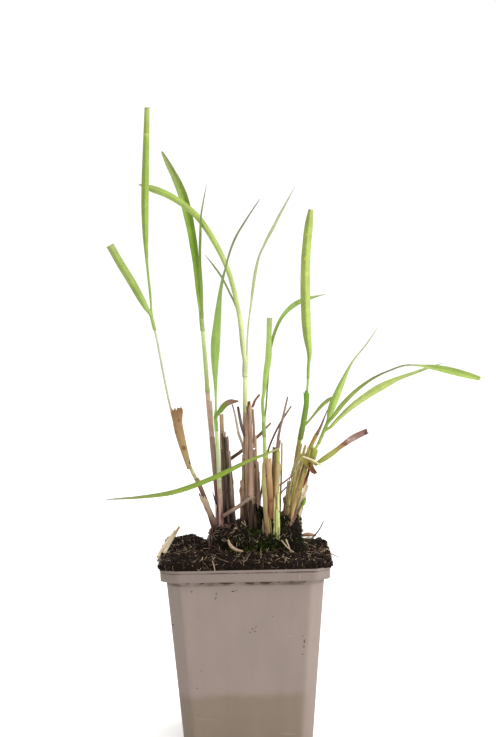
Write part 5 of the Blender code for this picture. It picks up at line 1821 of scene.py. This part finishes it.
class GRASS_OT_litter(bpy.types.Operator):
    """Strews crumbs, fibres, bark chips and moss over the compost and the root ball"""

    bl_idname = "grass.litter"
    bl_label = "Crumbs, fibres and moss"

    def execute(self, context):
        soil = context.scene.grass_soil
        relief = soil.relief / MM
        bed = compost_surface(120, relief)
        ground = surface_mesh("ground", bed)
        root = surface_mesh("root_top", root_surface(110)[7:])
        peat = earth_material("peat_crumbs", linear("#0B0706"), linear("#38281C"), True, 900)
        fibre = earth_material("root_fibres_dry", linear("#4A382B"), linear("#DCC3A4"), True, 500)
        bark = earth_material("pine_bark_chips", linear("#20140E"), linear("#765644"), True, 600, 0.1)
        low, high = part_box("root_ball")

        def open_ground(point):
            """Fewer crumbs along the front rim, more where compost spills over the sides."""
            if point.y < -RIM_HALF + 3.6:
                return 0.45
            return 1.35 if abs(point.x) > RIM_HALF - 3 else 1.0

        def well_inside(point):
            """Nothing near the rim."""
            return 1.0 if max(abs(point.x), abs(point.y)) < RIM_HALF - 8 else 0.0

        def everywhere(point):
            """The same everywhere."""
            return 1.0

        def mossy(point):
            """Moss grows in patches at the front and the top of the root ball."""
            patch = grain_of((point.x, point.y, point.z), 9, 2)
            front = ease((4 - point.y) / 16)
            middle = ease((point.x + 6) / 8) * ease((27 - point.x) / 8)
            return max(0.0, min(1.0, (0.55 * front * middle + patch * 0.9 - 0.12) * 1.7))

        def moss_ring(point):
            """A pale olive wisp of moss where the root ball meets the compost in front."""
            x0, y0 = (low.x + high.x) / 2 / MM, (low.y + high.y) / 2 / MM
            away = math.hypot((point.x - x0) / 24.5, (point.y - y0) / 20.5)
            band = max(0.0, 1 - abs(away - 1.06) / 0.12)
            return band * ease((-8 - point.y) / 6) * ease((20 - point.x) / 6) * ease((point.x + 14) / 5)

        scatter("peat_crumbs_coarse", ground, open_ground, soil.crumbs, (0.45, 2.1), 3.1, 4,
                [lump_piece("crumb_%d" % k, k, MM, 0.75, 0.5) for k in range(8)], peat)
        scatter("peat_crumbs_fine", ground, open_ground, soil.fines, (0.3, 0.95), 3.1, 9,
                [lump_piece("fine_%d" % k, 40 + k, MM, 0.8, 0.5, True) for k in range(5)], peat)
        scatter("peat_fibres", ground, open_ground, soil.fibres, (0.5, 1.15), 0.45, 21,
                [fibre_piece("fibre_%d" % k, k, (5 + k) * MM, 0.13 * MM) for k in range(7)],
                fibre)
        scatter("bark_chips", ground, well_inside, soil.chips, (0.5, 1.3), 0.5, 33,
                [lump_piece("chip_%d" % k, 70 + k, 2.6 * MM, 0.22, 0.4) for k in range(5)],
                bark)
        scatter("root_crumbs", root, everywhere, soil.crumbs * 0.9, (0.45, 1.9), 3.1, 51,
                [lump_piece("root_crumb_%d" % k, 90 + k, MM, 0.75, 0.5) for k in range(8)],
                peat)
        scatter("root_fibres", root, everywhere, soil.fibres * 1.7, (0.4, 1.1), 0.7, 63,
                [fibre_piece("root_fibre_%d" % k, 20 + k, (5 + k) * MM, 0.17 * MM) for k in range(7)],
                fibre)
        mat = earth_material("peat_heap_moist", linear("#0B0705"), linear("#211811"), False, 800)
        mounds = []
        for order, (name, (*place, mossiness)) in enumerate(MOUNDS.items()):
            rings = mound_rings(*place, order * 9.0)
            heap = lofted(name, rings)
            heap.materials.append(mat)
            keep(name, heap)
            skin = surface_mesh(name + "_skin", rings)
            scatter(name + "_crumbs", skin, everywhere, soil.crumbs, (0.45, 1.8), 3.1, 90 + order,
                    [lump_piece("%s_%d" % (name, k), 110 + k, MM, 0.75, 0.5) for k in range(6)],
                    peat)
            mounds.append((name, skin, mossiness))
        # Cushion moss: soft, matt and dark, some shoots paler than others.
        moss = earth_material("cushion_moss", linear("#141B0A"), linear("#4A5622"), True, 1300)
        scatter("moss_cushions", root, mossy, soil.moss, (0.7, 1.5), 0.6, 77,
                [moss_piece("moss_%d" % k, k, 1.5 * MM) for k in range(6)], moss)
        for order, (name, skin, mossiness) in enumerate(mounds):
            scatter(name + "_moss", skin, everywhere, soil.moss * mossiness, (0.7, 1.5), 0.6,
                    140 + order, [moss_piece("%s_moss_%d" % (name, k), 50 + k, 1.5 * MM)
                                  for k in range(4)], moss)
        wisp = earth_material("moss_wisps", linear("#33331A"), linear("#8C8A3C"), True, 1300)
        scatter("moss_wisps", ground, moss_ring, soil.moss * 0.5, (0.7, 1.4), 0.9, 81,
                [moss_piece("wisp_%d" % k, 30 + k, 1.5 * MM) for k in range(4)]
                + [fibre_piece("wisp_thread_%d" % k, 60 + k, 5 * MM, 0.16 * MM) for k in range(4)],
                wisp)
        return {"FINISHED"}


class GRASS_OT_stalks(bpy.types.Operator):
    """Grows the culms, cut stubs, dead stalks and loose straws"""

    bl_idname = "grass.stalks"
    bl_label = "Culms and stubs"

    def execute(self, context):
        settings = context.scene.grass_stalk
        for order, (node, style) in enumerate(STALKS.items()):
            stations = tube_stations(node)
            tissue = Tissue()
            seed = 1.7 * order + 0.4
            stalk(tissue, stations, style, seed, settings.sides, settings.swelling)
            rng = random.Random(order + 100)
            for layer in range(style["wraps"]):
                low, high = style["reach"]
                end = low + (high - low) * (1 - layer / max(style["wraps"], 1)) * rng.uniform(0.8, 1.0)
                tint = style["layers"][layer % len(style["layers"])]
                base = style["stops"][0][1]
                stops = [(0, base), (0.2, base), (0.32, tint), (1, tint)]
                wrapped_layer(
                    tissue, stations, (0.0, max(end, 0.12)), rng.uniform(1.7, 3.3),
                    0.14 + 0.12 * layer, rng.uniform(0.1, 0.8), stops, seed + layer,
                    settings.sheath / MM, angle=rng.uniform(0, math.tau) if layer else 1.2,
                    ragged=rng.uniform(0.6, 1.8))
            living = node.startswith("culm")
            straw = node.startswith("straw") or node in ("stub_g_pale", "stub_h_thin")
            kind = "culm" if living else "dry" if straw else "dead"
            mesh = tissue.mesh(node + "_grown", [finish_of(kind), finish_of("dry")])
            keep(node + "_grown", mesh, [node])
        return {"FINISHED"}


class GRASS_OT_blades(bpy.types.Operator):
    """Grows the living leaf blades"""

    bl_idname = "grass.blades"
    bl_label = "Leaf blades"

    def execute(self, context):
        leaf = context.scene.grass_leaf
        culms = {n: tube_stations(n, 2.0) for n in STALKS if n.startswith("culm")}
        for order, (node, style) in enumerate(BLADES.items()):
            stations = flat_stations(node, 4)
            away, culm = nearest_culm(stations[0].place, culms)
            tissue = Tissue()
            blade(tissue, stations, style, 2.3 * order + 0.7, leaf.thickness / MM, leaf.keel / MM,
                  culm if away < 4.5 and node != "blade_j_low" else None)
            keep(node + "_grown", tissue.mesh(node + "_grown", [finish_of("living")]),
                 [node])
        return {"FINISHED"}


class GRASS_OT_dry_leaves(bpy.types.Operator):
    """Grows the withered leaves and the husks"""

    bl_idname = "grass.dry_leaves"
    bl_label = "Dry leaves and husks"

    def execute(self, context):
        settings = context.scene.grass_stalk
        for order, (node, style) in enumerate(DRY_LEAVES.items()):
            tissue = Tissue()
            blade(tissue, flat_stations(node, 4), style, 3.1 * order + 40, settings.sheath / MM, 0.05)
            keep(node + "_grown", tissue.mesh(node + "_grown", [finish_of("dry")]),
                 [node])
        for order, (node, style) in enumerate(HUSKS.items()):
            tissue = Tissue()
            self.husk(tissue, flat_stations(node, 6, 0.8), style, 5.3 * order + 60, settings.sheath / MM)
            kind = "living" if node in ("husk_f", "husk_g") else "dry"
            keep(node + "_grown", tissue.mesh(node + "_grown", [finish_of(kind)]),
                 [node])
        rows = [[x, y, z, half, 1, 0, 0] for x, y, z, half in KNOT["points"]]
        tissue = Tissue()
        self.husk(tissue, stations_from(smooth_rows(rows, 0.9), True), KNOT, 80, settings.sheath / MM)
        keep("knot_g", tissue.mesh("knot_g", [finish_of("dry")]))
        for order, (name, tuft) in enumerate(TUFTS.items()):
            tissue = Tissue()
            rng = random.Random(order + 300)
            for k in range(tuft["count"]):
                self.strip(tissue, rng, tuft, k, settings.sheath / MM)
            keep(name, tissue.mesh(name, [finish_of("dry")]))
        return {"FINISHED"}

    def strip(self, tissue, rng, tuft, number, thickness):
        """One narrow strip of old sheath in a tuft."""
        u = 2 * (number + 0.5) / tuft["count"] - 1 + rng.uniform(-0.12, 0.12)
        half = tuft["half"] * rng.uniform(0.6, 1.25)
        rows = []
        for z, left, right, depth, forward in tuft["rows"]:
            x = (left + right) / 2 + u * (right - left) / 2 + 0.6 * ripple(z / 13, number, 7)
            y = depth - forward * (1 - u * u) - 0.3 * (number % 3)
            wide = Vector(((right - left) / 2, 2 * forward * u + rng.uniform(-1, 1), 0)).normalized()
            rows.append([x, y, z, half * rng.uniform(0.8, 1.15), *wide])
        rows = smooth_rows(rows, 1.1)
        rows = rows[:max(8, int(len(rows) * rng.uniform(*tuft["reach"])))]
        first, second = rng.choice(tuft["colours"]), rng.choice(tuft["colours"])
        style = dict(
            stops=[(0, tuft["foot"]), (0.12, tuft["foot"]), (0.32, first), (0.75, second), (1, first)],
            curl=(rng.uniform(20, 110), rng.uniform(20, 170)), tip=rng.choice(("cut", "point")),
            wave=0.8, light=rng.uniform(0.8, 1.08), blunt=3, columns=7,
            marks=[(rng.uniform(0.2, 0.9), rng.uniform(-1, 1), rng.uniform(0.3, 0.8), "#4E382C")])
        blade(tissue, stations_from(rows, True), style, number * 1.9 + u, thickness, 0.04)

    def husk(self, tissue, stations, style, seed, thickness):
        """A cupped sheath whose mouth is torn and flares to one side."""
        columns = 13
        length = stations[-1].reached
        grid, colours, shares, reached = [], [], [], []
        for station in stations:
            t = station.share
            open_up = style["flare"] * ease((t - 0.72) / 0.28)
            row, row_colours = [], []
            for j in range(columns):
                s = 2 * j / (columns - 1) - 1
                alpha = 1.3 - 0.5 * ease((t - 0.7) / 0.3)
                r = station.half / math.sin(min(alpha, 1.25))
                x = r * math.sin(s * alpha)
                y = r * (math.cos(s * alpha) - math.cos(alpha))
                tug = max(0.0, s * style["side"])
                x += style["side"] * open_up * tug * 1.1
                y += open_up * 0.7 * tug + 0.12 * ripple(t * 6, s * 2, seed)
                point = station.place + station.wide * x + station.front * y
                if t > 0.85:
                    tear = ripple(j * 0.8, seed, 2) * 2.2 - 1.4 * max(0.0, -s * style["side"])
                    point += station.along * tear * ease((t - 0.85) / 0.15)
                row.append(point)
                shade = 1 + 0.1 * ripple(station.reached / 4, s * 2.5, seed)
                colour = [c * shade for c in blend_stops(style["stops"], t)[:3]] + [1.0]
                row_colours.append(spotted(colour, station, s, style["marks"], length))
            grid.append(row)
            colours.append(row_colours)
            shares.append(t)
            reached.append(station.reached)
        sheet(tissue, grid, colours, shares, reached, lambda t, s: thickness * (1 - 0.5 * s * s))


class GRASS_OT_strays(bpy.types.Operator):
    """Adds the fine stray twigs and straws and the crown roots at each culm's foot"""

    bl_idname = "grass.strays"
    bl_label = "Strays and crown roots"

    def execute(self, context):
        settings = context.scene.grass_stalk
        for order, (name, (colour, points)) in enumerate(STRAYS.items()):
            rows = smooth_rows([[x, y, z, d / 2] for x, y, z, d in points], 0.7)
            tissue = Tissue()
            style = dict(stops=[(0, colour), (1, colour)], hollow=name.startswith("stub"), nodes=())
            stalk(tissue, stations_from(rows, False), style, 9.1 * order, 10, 0.2)
            keep(name, tissue.mesh(name, [finish_of("dry")]))
        rng = random.Random(5)
        tissue = Tissue()
        read, _ = height_reader("root_ball")
        for node in STALKS:
            if node.startswith("straw"):
                continue
            foot = tube_stations(node, 3.0)[0].place
            left = foot.x < -5
            for _ in range(settings.roots * (4 if left else 1)):
                self.root(tissue, rng, foot, read, left)
        keep("crown_roots", tissue.mesh("crown_roots", [finish_of("dead")]))
        return {"FINISHED"}

    def root(self, tissue, rng, foot, read, long):
        """A short root that leaves a culm's foot, arches out and enters the ground."""
        heading = rng.uniform(math.pi, math.tau) if long else rng.uniform(0, math.tau)
        reach = rng.uniform(2.5, 8.5) if long else rng.uniform(2, 5)
        start = read(foot.x, foot.y, 112) + rng.uniform(0.5, 3.5)
        rows = []
        for k in range(6):
            t = k / 5
            heading += rng.uniform(-0.25, 0.25)
            x = foot.x + math.cos(heading) * reach * t
            y = foot.y + math.sin(heading) * reach * t
            ground = read(x, y, 99.0) + 1.2
            z = start + (ground - start) * ease(t * 1.3) - 1.6 * ease(t * 3 - 2) + rng.uniform(0, 0.5)
            rows.append([x, y, z, (0.46 - 0.32 * t) * (1 if long else 0.7)])
        colour = rng.choice(("#6A4442", "#3A2624", "#7E5854", "#94726A", "#2A1C1A"))
        style = dict(stops=[(0, colour), (0.6, colour), (1, "#3A2A22")], hollow=False, nodes=())
        stalk(tissue, stations_from(smooth_rows(rows, 0.8), False), style, rng.uniform(0, 9), 6, 0.0)


class GRASS_PT_sidebar(bpy.types.Panel):
    """Lists the pieces of the potted grass"""

    bl_idname = "GRASS_PT_sidebar"
    bl_label = "Potted grass"
    bl_space_type = "VIEW_3D"
    bl_region_type = "UI"
    bl_category = "Grass"

    def draw(self, context):
        scene = context.scene
        for group, operators in (
                (scene.grass_pot, ("grass.pot", "grass.dirt")),
                (scene.grass_soil, ("grass.compost", "grass.root_ball", "grass.litter")),
                (scene.grass_stalk, ("grass.stalks", "grass.dry_leaves", "grass.strays")),
                (scene.grass_leaf, ("grass.blades",)),
                (scene.grass_stage, ("grass.stage",))):
            box = self.layout.box()
            for name in group.bl_rna.properties.keys():
                if name not in ("rna_type", "name"):
                    box.prop(group, name)
            for operator in operators:
                box.operator(operator)


SETTINGS = (
    ("grass_pot", PotSettings), ("grass_soil", SoilSettings), ("grass_leaf", LeafSettings),
    ("grass_stalk", StalkSettings), ("grass_stage", StageSettings))
CLASSES = (
    PotSettings, SoilSettings, LeafSettings, StalkSettings, StageSettings, GRASS_OT_stage,
    GRASS_OT_pot, GRASS_OT_dirt_and_shade, GRASS_OT_compost, GRASS_OT_root_ball, GRASS_OT_litter,
    GRASS_OT_stalks, GRASS_OT_blades, GRASS_OT_dry_leaves, GRASS_OT_strays, GRASS_PT_sidebar)


def register():
    """Registers the classes and hangs the settings on the scene."""
    for kind in CLASSES:
        bpy.utils.register_class(kind)
    for name, kind in SETTINGS:
        setattr(bpy.types.Scene, name, bpy.props.PointerProperty(type=kind))


def unregister():
    """Takes the settings and the classes away again."""
    for name, _ in SETTINGS:
        delattr(bpy.types.Scene, name)
    for kind in reversed(CLASSES):
        bpy.utils.unregister_class(kind)


def main():
    """Builds every piece in order."""
    register()
    bpy.ops.grass.stage()
    bpy.ops.grass.pot()
    bpy.ops.grass.dirt()
    bpy.ops.grass.compost()
    bpy.ops.grass.root_ball()
    bpy.ops.grass.litter()
    bpy.ops.grass.stalks()
    bpy.ops.grass.blades()
    bpy.ops.grass.dry_leaves()
    bpy.ops.grass.strays()


if __name__ == "__main__":
    main()
